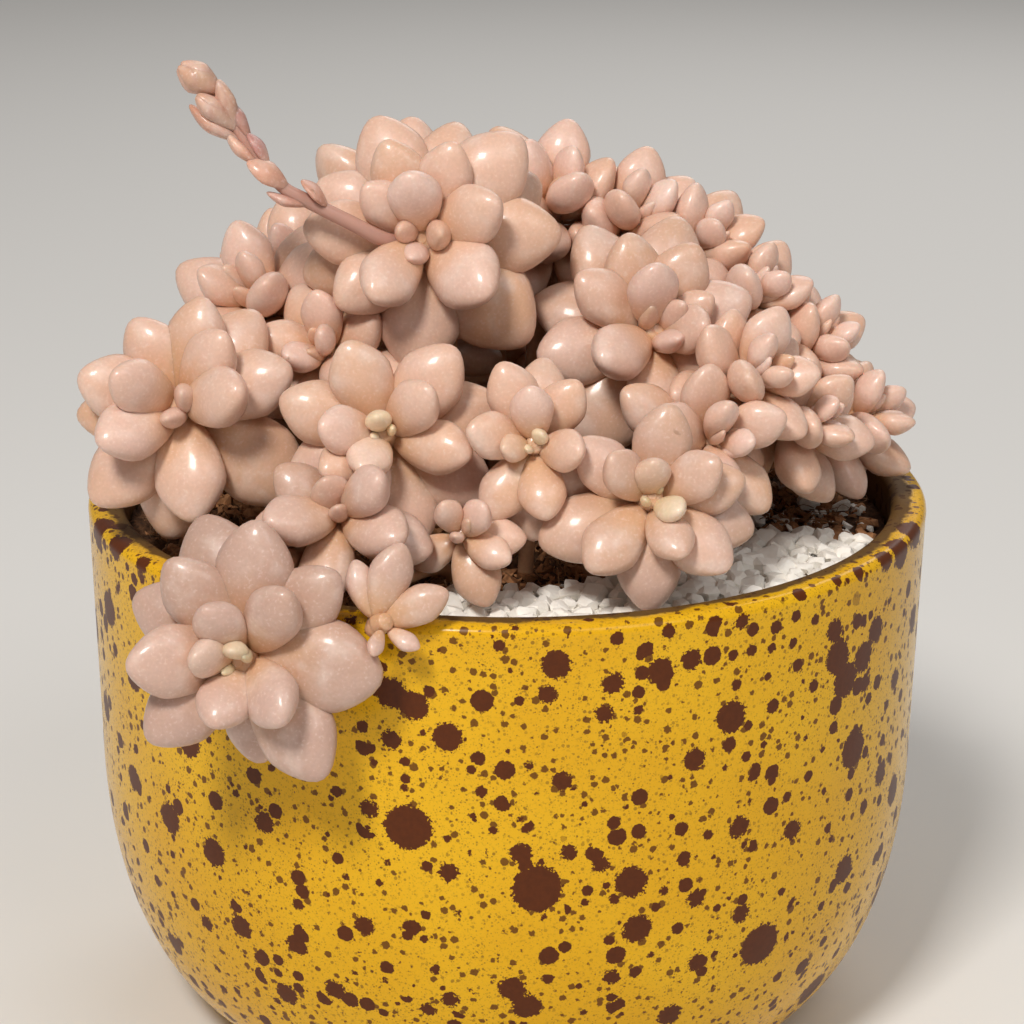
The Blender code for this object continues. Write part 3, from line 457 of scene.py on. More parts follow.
@dataclass(frozen=True)
class SpeckledGlaze(Finish):
    """Yellow glaze with dark blots at their own places, and dots and specks scattered by rule.

    A size of dot is its cells a metre, its least and largest radius in mm, and the share of cells with one.
    """
    yellow: Colour = (0.80, 0.455, 0.013)
    deep_yellow: Colour = (0.74, 0.395, 0.010)
    blot: Colour = (0.125, 0.029, 0.005)
    blot_dark: Colour = (0.075, 0.018, 0.004)
    speck: Colour = (0.30, 0.155, 0.012)
    dirt: Colour = (0.075, 0.036, 0.016)
    inner_radius: float = 0.0582
    medium: tuple = (340.0, 0.36, 1.50, 0.82)
    small: tuple = (780.0, 0.14, 0.62, 0.86)
    fine: tuple = (1500.0, 0.08, 0.27, 0.80)
    tiny: tuple = (2800.0, 0.05, 0.14, 0.72)
    small_share: float = 0.88
    tiny_share: float = 0.80
    fine_share: float = 0.90
    lobes: float = 1.9
    out_of_round: float = 0.0005
    dirt_share: float = 0.92
    dirt_patches: float = 0.0040
    dirt_fade: float = 0.0009
    dirt_heights: tuple = (0.060, 0.064)

    def dots(self, tree: Tree, at: Wire, scale: float, low: float, high: float, keep: float) -> Wire:
        """Round dots of uneven size.

        Args:
            tree: The material's tree.
            at: The place on the surface.
            scale: Cells a metre.
            low: The smallest radius, in mm.
            high: The largest radius, in mm.
            keep: The share of the cells that have a dot.

        Returns:
            The dots' mask.
        """
        cell = {"Vector": at, "Scale": scale}
        near = tree.node("ShaderNodeTexVoronoi", None, cell, "Distance")
        first = tree.node("ShaderNodeSeparateColor", None, {"Color": near.beside("Color")}, "Red")
        second = first.beside("Green")
        near = near / (scale * MILLIMETRE)
        radius = low + (high - low) * first ** 2.0
        there = tree.step(second, keep, keep - 0.01)
        return tree.step(radius - near, -0.05, 0.06) * there

    def dark_spots(self, tree: Tree, at: Wire) -> Wire:
        """The blots with their lobed edges, and the larger dots, a little out of round.

        Args:
            tree: The material's tree.
            at: The place on the surface.

        Returns:
            Their mask.
        """
        lobes = (tree.grain(2400, 2.0, at, 0.6) - 0.5) * self.lobes
        ends = {"Vector": at, "Scale": 2600.0, "Detail": 1.0}
        wobble = tree.parts(tree.node("ShaderNodeTexNoise", None, ends, "Color"))
        moved = at + (wobble - (0.5, 0.5, 0.5)) * self.out_of_round
        blots = tree.step(tree.attribute("blot") + lobes - 0.02, -0.06, 0.08)
        medium = self.dots(tree, moved, *self.medium)
        return blots.most(medium).most(self.dots(tree, moved, *self.small) * self.small_share)

    def ground(self, tree: Tree, at: Wire) -> Wire:
        """The yellow, brushed with a deeper one and sprinkled with specks.

        Args:
            tree: The material's tree.
            at: The place on the surface.

        Returns:
            The colour.
        """
        crowd = tree.step(tree.grain(70, 2.0, at), 0.35, 0.62, 0.55, 1.0)
        colour = tree.blend(tree.step(tree.grain(45, 3.0, at), 0.3, 0.7), self.yellow, self.deep_yellow)
        dust = tree.step(tree.grain(2600, 1.0, at), 0.52, 0.80, 0.0, 0.35)
        colour = tree.blend(dust, colour, self.speck)
        for size, share in ((self.tiny, self.tiny_share), (self.fine, self.fine_share)):
            colour = tree.blend(self.dots(tree, at, *size) * crowd * share, colour, self.speck)
        return colour

    def dirty(self, tree: Tree, at: Wire) -> Wire:
        """The dirt inside the rim, with a patchy edge.

        Args:
            tree: The material's tree.
            at: The place on the surface.

        Returns:
            Its mask.
        """
        across = tree.length(at * (1.0, 1.0, 0.0))
        patchy = (tree.grain(160, 4.0, at, 0.65) - 0.5) * self.dirt_patches
        inside = tree.step(across + patchy, self.inner_radius, self.inner_radius - self.dirt_fade)
        return inside * tree.step(tree.part(at, "Z"), *self.dirt_heights)

    def shade(self, tree: Tree, sockets: NodeInputs) -> None:
        """Lays the dark spots over the ground, and the dirt over both.

        Args:
            tree: The material's tree.
            sockets: The shader's sockets.
        """
        at = tree.place()
        dark, dirty = self.dark_spots(tree, at), self.dirty(tree, at)
        brown = tree.blend(tree.grain(1500, 3.0, at), self.blot_dark, self.blot)
        colour = tree.blend(dark, self.ground(tree, at), brown)
        tree.feed(sockets["Base Color"], tree.blend(dirty * self.dirt_share, colour, self.dirt))
        matt = self.roughness + dark * 0.16 + dirty * 0.45
        tree.feed(sockets["Roughness"], matt + tree.grain(260, 2.0, at) * 0.05)
        relief = tree.grain(420, 1.0, at) * 0.5 + tree.grain(1800, 0.0, at) * 0.10
        tree.feed(sockets["Normal"], tree.bump(relief, 0.35, 0.00012))


@dataclass(frozen=True)
class PlumpSkin(Finish):
    """The leaves' waxy skin: peach to pink, mauve on some stems, cream at the growing points."""
    peach: Colour = (0.80, 0.480, 0.305)
    pink: Colour = (0.775, 0.535, 0.450)
    mauve: Colour = (0.50, 0.335, 0.285)
    cream: Colour = (0.86, 0.80, 0.46)
    # base: the leaf root's deeper colour, partly its own and partly painted shade where the leaves press
    # together; also the stem's second tone
    base: Colour = (0.70, 0.400, 0.210)
    stem: Colour = (0.34, 0.18, 0.10)
    scar: Colour = (0.30, 0.16, 0.09)
    farina: Colour = (0.86, 0.70, 0.62)
    # pale specks: partly farina and partly painted glints of light
    farina_glint: Colour = (0.92, 0.80, 0.74)
    glow: float = 0.22
    glow_colour: Colour = (1.0, 0.45, 0.25)
    glow_depth: float = 0.0018
    coat: float = 0.30
    coat_roughness: float = 0.13

    def flesh(self, tree: Tree, broad: Wire) -> Wire:
        """The colour of each leaf, deeper and warmer towards its root, partly its own colour there and partly
        painted shade where the leaves press together, and cream where it is young.

        Args:
            tree: The material's tree.
            broad: A broad grain.

        Returns:
            The colour.
        """
        colour = tree.blend(tree.attribute("tint"), self.peach, self.pink)
        colour = tree.blend(tree.step(broad, 0.40, 0.68, 0.0, 0.55), colour, self.pink)
        colour = tree.blend(tree.attribute("mauve"), colour, self.mauve)
        # towards the root: partly the leaf's own deeper colour and partly painted shade where the leaves
        # press together
        root = tree.step(tree.attribute("along"), 0.60, 0.10, 0.0, 0.80)
        return tree.blend(tree.attribute("youth"), tree.blend(root, colour, self.base), self.cream)

    def shade(self, tree: Tree, sockets: NodeInputs) -> None:
        """Dresses the flesh with pale meal, fine pale specks that are partly farina and partly painted
        glints, fine pores and a few brown scars, and bares the stem.

        Args:
            tree: The material's tree.
            sockets: The shader's sockets.
        """
        at = tree.place()
        tint, bare = tree.attribute("tint"), tree.attribute("bare")
        broad, fine = tree.grain(95, 3.0, at), tree.grain(2300, 1.0, at)
        meal = tree.step(tree.grain(210, 3.0, at, 0.6), 0.45, 0.75, 0.0, 0.45)
        colour = tree.blend(meal, self.flesh(tree, broad), self.farina)
        # fine pale specks: partly farina, partly painted glints of light
        colour = tree.blend(tree.step(fine, 0.60, 0.74, 0.0, 0.22), colour, self.farina_glint)
        colour = self.scaled(tree, colour, tree.step(fine, 0.30, 0.60, 0.95, 1.0) * (tint * 0.16 + 0.88))
        marks = tree.step(tree.grain(330, 2.0, at, 0.7), 0.735, 0.77)
        colour = tree.blend(marks * tree.step(broad, 0.50, 0.56) * 0.6, colour, self.scar)
        bark = tree.blend(meal + fine * 0.4, self.stem, self.base)
        colour = tree.blend(bare, colour, bark)
        tree.feed(sockets["Base Color"], colour)
        tree.feed(sockets["Roughness"], self.roughness + broad * 0.10 + fine * 0.10 + bare * 0.3)
        relief = tree.grain(180, 2.0, at) + tree.grain(2300, 0.0, at) * 0.10
        tree.feed(sockets["Normal"], tree.bump(relief, 0.30, 0.00025))
        sockets["Subsurface Weight"].default_value = self.glow
        sockets["Subsurface Radius"].default_value = self.glow_colour
        sockets["Subsurface Scale"].default_value = self.glow_depth
        sockets["Coat Weight"].default_value = self.coat
        sockets["Coat Roughness"].default_value = self.coat_roughness

    @staticmethod
    def scaled(tree: Tree, colour: Wire, amount: Wire) -> Wire:
        """A colour made lighter or darker."""
        return tree.node("ShaderNodeMix", {"data_type": "RGBA", "blend_type": "MULTIPLY"},
                         {0: 1.0, 6: colour, 7: amount}, 2)


@dataclass(frozen=True)
class TwoTone(Finish):
    """A matt natural surface of two mixed shades, with its own tint from piece to piece."""
    dark: Colour = (0.05, 0.03, 0.02)
    light: Colour = (0.16, 0.09, 0.05)
    scale: float = 900.0
    relief: float = 0.5

    def shade(self, tree: Tree, sockets: NodeInputs) -> None:
        """Mixes the shades by a fine grain and by each piece's own tint.

        Args:
            tree: The material's tree.
            sockets: The shader's sockets.
        """
        at = tree.place()
        mottle = tree.step(tree.grain(self.scale, 4.0, at, 0.6), 0.30, 0.70)
        share = mottle * 0.6 + tree.attribute("tint") * 0.4
        tree.feed(sockets["Base Color"], tree.blend(share, self.dark, self.light))
        tree.feed(sockets["Normal"], tree.bump(tree.grain(2.2 * self.scale, 4.0, at), self.relief, 0.0002))


@dataclass(frozen=True)
class Plain(Finish):
    """One colour all over."""
    colour: Colour = (0.8, 0.8, 0.8)

    def shade(self, tree: Tree, sockets: NodeInputs) -> None:
        """Sets the colour."""
        sockets["Base Color"].default_value = (*self.colour, 1.0)


# The pot

@dataclass(frozen=True)
class PotForm:
    """The pot's section: a straight wall over a rounded foot, and a rounded rim."""
    radius: float = 0.060
    height: float = 0.078
    wall: float = 0.0050
    belly_radius: float = 0.0593
    belly_height: float = 0.044
    foot_radius: float = 0.034
    floor: float = 0.0070
    floor_inset: float = 0.002
    curve_power: float = 2.3
    curve_start: float = 0.003
    rim_round: float = 0.0014

    def outer(self, height: float) -> float:
        """The outer radius at a height.

        Args:
            height: The height above the foot.

        Returns:
            The radius.
        """
        if height >= self.belly_height:
            share = (height - self.belly_height) / (self.height - self.belly_height)
            return self.belly_radius + (self.radius - self.belly_radius) * share
        share = 1 - (1 - height / self.belly_height) ** self.curve_power
        return self.foot_radius + (self.belly_radius - self.foot_radius) * share ** (1 / self.curve_power)

    def inner(self, height: float) -> float:
        """The inner radius at a height."""
        return self.outer(height) - self.wall

    def heights(self, points: int) -> list[float]:
        """Heights down the rounded foot, closer together near the bottom."""
        turns = [math.pi / 2 * (1 - i / points) for i in range(points + 1)]
        return [self.belly_height * (1 - math.cos(turn) ** (2 / self.curve_power)) for turn in turns]


def turned_mesh(name: str, profile: Sequence[tuple[float, float]], steps: int) -> Mesh:
    """A closed mesh turned about Z.

    Args:
        name: The mesh's name.
        profile: Radius and height of each point, from the axis to the axis.
        steps: The number of steps round.

    Returns:
        The mesh, its faces outwards where the profile runs down the outer side.
    """
    form = bmesh.new()
    rings = []
    for radius, height in profile:
        if radius == 0:
            rings.append([form.verts.new((0.0, 0.0, height))])
            continue
        turns = [math.tau * i / steps for i in range(steps)]
        rings.append([form.verts.new((radius * math.cos(t), radius * math.sin(t), height)) for t in turns])
    for high, low in zip(rings[:-1], rings[1:]):
        for i in range(steps):
            j = (i + 1) % steps
            corners = [high[i % len(high)], low[i % len(low)], low[j % len(low)], high[j % len(high)]]
            form.faces.new(list(dict.fromkeys(corners)))
    bmesh.ops.recalc_face_normals(form, faces=form.faces)
    mesh = closed_form(name, form)
    mesh.shade_smooth()
    return mesh


@dataclass
class Pot:
    """The glazed pot. Its larger blots have their own places: degrees round, height and radius in mm."""
    form: PotForm = field(default_factory=PotForm)
    finish: SpeckledGlaze = field(default_factory=lambda: SpeckledGlaze("speckled_glaze", 0.18, 0.20))
    steps: int = 400
    curve_points: int = 64
    wall_rows: int = 44
    rim_rows: int = 6
    drains: int = 3
    drain_first: float = 90.0
    drain_radius: float = 0.0035
    drain_ring: float = 0.018
    blot_seed: int = 21
    blots: tuple = (
        (46, 71, 1.7), (47, 67, 2.5), (49, 63, 2.6), (53, 65, 2.3), (56, 68, 2.0), (54, 61, 1.4),
        (4, 42, 3.4), (36, 28, 3.3), (-14, 68.5, 2.1), (-11, 67, 2.0), (1, 27, 1.9), (3, 24, 2.0),
        (54, 13, 3.0), (52, 52, 2.9), (16, 42, 2.3), (29, 63, 2.3), (17, 35, 2.1), (-12, 50, 3.2),
        (-7, 63, 2.0), (52, 34, 2.2), (19, 71, 1.9), (23, 72, 1.5), (-28, 30, 1.7), (24, 58, 1.6),
        (23, 20, 1.8), (31, 47, 1.6), (-18, 35, 1.5), (-31, 21, 1.8), (-14, 62, 1.4), (26, 28, 1.5),
        (-37, 30, 1.8), (-23, 24, 1.6), (25, 38, 1.4), (2, 47, 1.5), (7, 57, 1.4), (32, 34, 1.5),
        (-32, 47, 1.6), (-7, 44, 1.4), (40, 44, 1.6), (-17, 52, 1.3), (-60, 44, 2.0), (14, 28, 1.3),
        (67, 40, 2.4), (12, 45, 1.2), (6, 73, 2.0), (61, 45, 1.9), (-7, 25, 1.3), (8, 47, 1.2),
        (13, 70, 1.5), (12, 66, 1.3), (-10, 23, 1.2), (70, 22, 2.0), (5, 69, 1.3), (-33, 61, 1.2),
        (-44, 28, 1.3), (30, 76, 1.1), (-19, 78, 1.0), (-45, 55, 2.4), (-50, 42, 2.3), (-58, 60, 2.2),
        (-66, 67, 2.6), (-72, 50, 2.2), (-55, 20, 1.9), (64, 58, 1.6), (72, 64, 2.2), (-41, 40, 2.2),
        (63, 77, 2.6), (70, 78, 3.0), (58, 77.5, 1.8), (-62, 78, 2.6), (-70, 77, 2.8), (-54, 77.5, 1.6))
    back_tries: int = 120
    back_turns: tuple = (78, 282)
    back_heights: tuple = (6, 79)
    back_sizes: tuple = (0.9, 2.9)
    back_apart: float = 1.5

    def profile(self) -> list[tuple[float, float]]:
        """The pot's section.

        Returns:
            Radius and height of each point, from the middle of the floor over the rim to that of the foot.
        """
        form = self.form
        curve = form.heights(self.curve_points)
        rows = [form.belly_height + (form.height - form.rim_round - form.belly_height) * i / self.wall_rows
                for i in range(1, self.wall_rows)]
        inside = [(0.0, form.floor), (form.inner(form.floor) - form.floor_inset, form.floor)]
        inside += [(form.inner(z), z) for z in reversed(curve) if z > form.floor + form.curve_start]
        inside += [(form.inner(z), z) for z in rows]
        return inside + self.rim() + [(form.outer(z), z) for z in reversed(rows)] + self.outside(curve)

    def rim(self) -> list[tuple[float, float]]:
        """The rim's rounded section.

        Returns:
            Radius and height of each point, from inside to outside.
        """
        form = self.form
        turns = [math.pi / 2 * i / self.rim_rows for i in range(self.rim_rows + 1)]
        lip, inset = form.height - form.rim_round, form.rim_round
        inner = form.radius - form.wall + inset
        low = [(inner - inset * math.cos(t), lip + inset * math.sin(t)) for t in turns]
        high = [(form.radius - inset + inset * math.sin(t), lip + inset * math.cos(t)) for t in turns]
        return low + high

    def outside(self, curve: Sequence[float]) -> list[tuple[float, float]]:
        """The outer curve down to the middle of the foot."""
        return [(self.form.outer(z), z) for z in curve] + [(0.0, 0.0)]

    def centres(self) -> Array:
        """All blots: those in front by their list, those behind drawn from a seed.

        Returns:
            Place and radius of each, in metres.
        """
        draw = random.Random(self.blot_seed)
        blots = list(self.blots)
        least, more = self.back_sizes
        for _ in range(self.back_tries):
            angle, height = draw.uniform(*self.back_turns), draw.uniform(*self.back_heights)
            radius = least + more * draw.random() ** 3
            away = [math.hypot((angle - a + 180) % 360 - 180, height - h) - radius - r for a, h, r in blots]
            if min(away) > self.back_apart:
                blots.append((angle, height, radius))
        rows = []
        for angle, height, radius in blots:
            turn, high = math.radians(angle), min(height * MILLIMETRE, self.form.height)
            out = self.form.outer(high)
            rows.append((out * math.sin(turn), -out * math.cos(turn), high, radius * MILLIMETRE))
        return np.array(rows)

    def drill_drains(self, thing: Object) -> None:
        """Cuts the drain holes through the floor.

        Args:
            thing: The turned pot.
        """
        for number in range(self.drains):
            angle = math.radians(self.drain_first + 360 / self.drains * number)
            form = bmesh.new()
            bmesh.ops.create_cone(form, cap_ends=True, segments=40, radius1=self.drain_radius,
                                  radius2=self.drain_radius, depth=3 * self.form.floor)
            spot = Vector((math.cos(angle), math.sin(angle), 0.0)) * self.drain_ring
            spot.z = self.form.floor / 2
            bmesh.ops.translate(form, verts=form.verts, vec=spot)
            cutter = placed("drain", closed_form("drain", form))
            hole = thing.modifiers.new("drain", "BOOLEAN")
            hole.object = cutter
            thing.data = worked_mesh(thing)
            thing.modifiers.clear()
            bpy.data.objects.remove(cutter)

    def mark(self, mesh: Mesh) -> None:
        """Writes on each point how far inside the nearest blot it is, in mm.

        Args:
            mesh: The pot's mesh.
        """
        places = np.array([vert.co for vert in mesh.vertices])
        blots = self.centres()
        depth = blots[None, :, 3] - np.linalg.norm(places[:, None] - blots[None, :, :3], axis=2)
        marks = mesh.attributes.new("blot", "FLOAT", "POINT")
        marks.data.foreach_set("value", (depth.max(axis=1) / MILLIMETRE).clip(-4, 4).astype(np.float32))

    def build(self) -> Object:
        """Turns, drills, marks and dresses the pot.

        Returns:
            The finished piece.
        """
        thing = placed("glazed_pot", turned_mesh("glazed_pot", self.profile(), self.steps))
        self.drill_drains(thing)
        self.mark(thing.data)
        thing.data.materials.clear()
        thing.data.materials.append(self.finish.material())
        return declare(thing, Slot.GLAZE, "pot")


# Soil and gravel

@dataclass(frozen=True)
class Ground:
    """The soil's surface, which falls to the back, and where gravel lies on it."""
    level: float = 0.0725
    fall: float = 0.020
    gap: float = 0.0003
    bump: float = 0.0006
    waves: tuple = (310, 270, 520, 430)
    shift: float = 1.1
    second: float = 0.6
    rings: int = 5
    gravel_from: float = -110.0
    gravel_to: float = 20.0
    gravel_rings: tuple = (3, 5)

    def height(self, x: float, y: float) -> float:
        """The plain surface's height at a place.

        Args:
            x: The place across.
            y: The place in depth.

        Returns:
            The height.
        """
        if self.gravelled(x, y):
            return self.level - self.fall * y
        a, b, c, d = self.waves
        bumps = math.sin(a * x + self.shift) * math.cos(b * y) + self.second * math.sin(c * y - d * x)
        return self.level - self.fall * y + self.bump * bumps

    def ring(self, pot: PotForm, number: float) -> float:
        """The radius of one of the rings that the surface is laid out by."""
        return (pot.inner(self.level) - self.gap) * number / self.rings

    def gravelled(self, x: float, y: float) -> bool:
        """Whether a place is under the gravel.

        Args:
            x: The place across.
            y: The place in depth.

        Returns:
            True under the gravel.
        """
        turn = math.degrees(math.atan2(y, x))
        edge = self.ring(PotForm(), self.gravel_rings[0]) - self.gap
        return self.gravel_from < turn < self.gravel_to and math.hypot(x, y) > edge


@dataclass
class Soil:
    """The dark mix of coir and bark that fills the pot."""
    pot: PotForm
    ground: Ground
    finish: TwoTone = field(default_factory=lambda: TwoTone(
        "coir_soil", 0.95, 0.2, (0.035, 0.016, 0.008), (0.22, 0.105, 0.050), 1100.0, 0.8))
    rows: int = 70
    steps: int = 260
    crumb: float = 0.0011
    crumb_waves: float = 420
    crumb_noise: tuple = (0.7, 2.2, 4)
    crumb_level: float = 0.25
    side_points: int = 16

    def build(self) -> Object:
        """Builds the body of the soil, its top raised in crumbs.

        Returns:
            The finished piece.
        """
        edge = self.ground.ring(self.pot, self.ground.rings)
        top = [(edge * i / self.rows, self.ground.level) for i in range(self.rows + 1)]
        start = self.pot.floor + self.pot.curve_start
        curve = [z for z in self.pot.heights(self.side_points) if start < z < self.ground.level]
        side = [(self.pot.inner(z) - self.ground.gap, z) for z in curve]
        low = self.pot.floor + self.ground.gap
        bottom = [(self.pot.inner(self.pot.floor) - self.pot.floor_inset - self.ground.gap, low), (0.0, low)]
        mesh = turned_mesh("coir_soil", top + side + bottom, self.steps)
        for vert in mesh.vertices:
            if vert.co.z > self.ground.level - self.ground.gap:
                x, y = vert.co.x, vert.co.y
                crumbs = noise.fractal(Vector((x, y, 0.0)) * self.crumb_waves, *self.crumb_noise)
                vert.co.z = self.ground.height(x, y) + self.crumb * (crumbs - self.crumb_level)
        mesh.materials.append(self.finish.material())
        return declare(placed("coir_soil", mesh), Slot.SOIL, "soil")


def surface_patch(name: str, pot: PotForm, ground: Ground, rise: float, step: float,
                  cover: Callable[[float, float], float]) -> Mesh:
    """A square-celled patch of the ground's surface that carries how thickly it is strewn.

    Args:
        name: The mesh's name.
        pot: The pot that it lies in.
        ground: The surface that it follows.
        rise: Its height above that surface.
        step: The size of a cell.
        cover: The share of full density at a place.

    Returns:
        The mesh, with the number "cover" on its points.
    """
    edge = ground.ring(pot, ground.rings) - WALL_CLEAR
    count = int(2 * edge / step) + 1
    ticks = [-edge + step * i for i in range(count + 1)]
    form = bmesh.new()
    layer = form.verts.layers.float.new("cover")
    grid = {}
    for i, x in enumerate(ticks):
        for j, y in enumerate(ticks):
            if math.hypot(x, y) < edge:
                grid[i, j] = form.verts.new((x, y, ground.height(x, y) + rise))
                grid[i, j][layer] = cover(x, y)
    for i, j in list(grid):
        corners = [grid.get(key) for key in ((i, j), (i + 1, j), (i + 1, j + 1), (i, j + 1))]
        if all(corners):
            form.faces.new(corners)
    return closed_form(name, form)


@dataclass(frozen=True)
class Cover:
    """How thickly gravel and bark lie: gravel along the front wall and over the right of the front."""
    inner_edge: float = 0.0350
    fade: float = 0.0015
    waves: float = 110
    ragged: float = 0.0035
    ragged_turn: float = 900
    turn_from: float = -101
    turn_thin: float = -14
    turn_to: float = 8
    thin: float = 0.12
    least_bark: float = 0.03

    def gravel(self, x: float, y: float) -> float:
        """How thickly gravel lies at a place.

        Args:
            x: The place across.
            y: The place in depth.

        Returns:
            The share of its full density.
        """
        turn, out = math.degrees(math.atan2(y, x)), math.hypot(x, y)
        ragged = noise.noise(Vector((x, y, 0.3)) * self.waves) * self.ragged
        across = min(max((out + ragged - self.inner_edge) / self.fade, 0.0), 1.0)
        end = turn + ragged * self.ragged_turn
        share = 1.0 if end < self.turn_thin else self.thin
        return across * share if self.turn_from < end < self.turn_to else 0.0

    def bark(self, x: float, y: float) -> float:
        """How thickly bark lies: everywhere that the gravel leaves free, and thinly on it."""
        return max(1.0 - self.gravel(x, y), self.least_bark)


COVER = Cover()


@dataclass
class Strewn:
    """Small broken pieces strewn over the ground: hulls of a few drawn points, in fixed variants."""
    name: str
    slot: Slot
    finish: Finish
    density: float
    small: float
    large: float
    wide: float
    high: float
    rise: float
    tilt: float
    seed: int
    cover: Callable[[float, float], float]
    replaces: tuple = ()
    variants: int = 7
    corners: int = 11
    even: float = 0.0
    apart: float = 0.0
    cell: float = 0.0016
    small_share: float = 1.6

    def recipe(self) -> Recipe:
        """Builds the tree that strews the pieces.

        Returns:
            The tree.
        """
        recipe = Recipe(self.name + "_strewn", {
            "Density": self.density, "Small": self.small, "Large": self.large, "Wide": self.wide,
            "High": self.high, "Tilt": self.tilt, "Seed": self.seed, "Finish": self.finish.material()})
        tree = recipe.tree
        forms = [self.variant(recipe, number) for number in range(self.variants)]
        spread = {"Mesh": recipe.size("Geometry"), "Seed": recipe.size("Seed")}
        if self.apart:
            spread |= {"Distance Min": self.apart, "Density Max": recipe.size("Density"),
                       "Density Factor": recipe.carried("cover")}
        else:
            spread["Density"] = recipe.size("Density") * recipe.carried("cover")
        method = {"distribute_method": "POISSON" if self.apart else "RANDOM"}
        points = tree.node("GeometryNodeDistributePointsOnFaces", method, spread, "Points")
        kept = recipe.keep(points, "tint", recipe.draw(0.0, 1.0, self.seed + 1))
        tilt = recipe.size("Tilt")
        lean = tree.vector(recipe.draw(-1.0, 1.0, self.seed + 2) * tilt,
                           recipe.draw(-1.0, 1.0, self.seed + 3) * tilt,
                           recipe.draw(0.0, math.tau, self.seed + 4))
        chance = recipe.draw(0.0, 1.0, self.seed + 5) ** self.small_share
        size = recipe.size("Small") + (recipe.size("Large") - recipe.size("Small")) * chance
        index = recipe.draw(0, self.variants - 1, self.seed + 6, "INT")
        recipe.close(recipe.strew(kept, forms, index, lean, size), False, "Finish")
        return recipe

    def variant(self, recipe: Recipe, number: int) -> Wire:
        """Builds one broken piece.

        Args:
            recipe: The tree.
            number: The piece's number, which its seed follows.

        Returns:
            The piece, as an instance.
        """
        tree = recipe.tree
        form = tree.vector(1.0, recipe.size("Wide"), recipe.size("High"))
        spot = recipe.draw((-1.0, -1.0, -1.0), (1.0, 1.0, 1.0), self.seed * 10 + number, "FLOAT_VECTOR")
        even = tree.maths("NORMALIZE", spot) * (self.even + (1.0 - self.even) * tree.length(spot))
        points = tree.node("GeometryNodePoints", None, {"Count": self.corners, "Position": even * form})
        hull = tree.node("GeometryNodeConvexHull", None, {"Geometry": points})
        return tree.node("GeometryNodeGeometryToInstance", None, {"Geometry": hull})

    def build(self, pot: PotForm, ground: Ground) -> Object:
        """Strews the pieces over the ground.

        Args:
            pot: The pot that they lie in.
            ground: The surface that they lie on.

        Returns:
            The finished piece.
        """
        patch = surface_patch(self.name, pot, ground, self.rise, self.cell, self.cover)
        return declare(self.recipe().make(self.name, patch, ("cover",)), self.slot, *self.replaces)


BARK = Strewn("bark_chips", Slot.SOIL, TwoTone(
    "bark", 0.85, 0.3, (0.14, 0.055, 0.020), (0.56, 0.27, 0.12), 700.0, 0.6),
    420000.0, 0.0005, 0.0021, 0.55, 0.35, 0.0004, 0.8, 31, COVER.bark)
WHITE_STONE = TwoTone("white_stone", 0.85, 0.3, (0.91, 0.86, 0.78), (0.98, 0.96, 0.91), 900.0, 0.25)
STONES = Strewn("white_gravel", Slot.GRAVEL, WHITE_STONE, 900000.0, 0.0015, 0.0026, 0.85, 0.62, 0.0012, 0.5,
                57, COVER.gravel, ("gravel",), corners=22, even=0.85, apart=0.0024)
GRIT = Strewn("white_grit", Slot.GRAVEL, WHITE_STONE, 1100000.0, 0.0007, 0.0012, 0.85, 0.70, 0.0004, 0.7,
              58, COVER.gravel, corners=12, even=0.85)


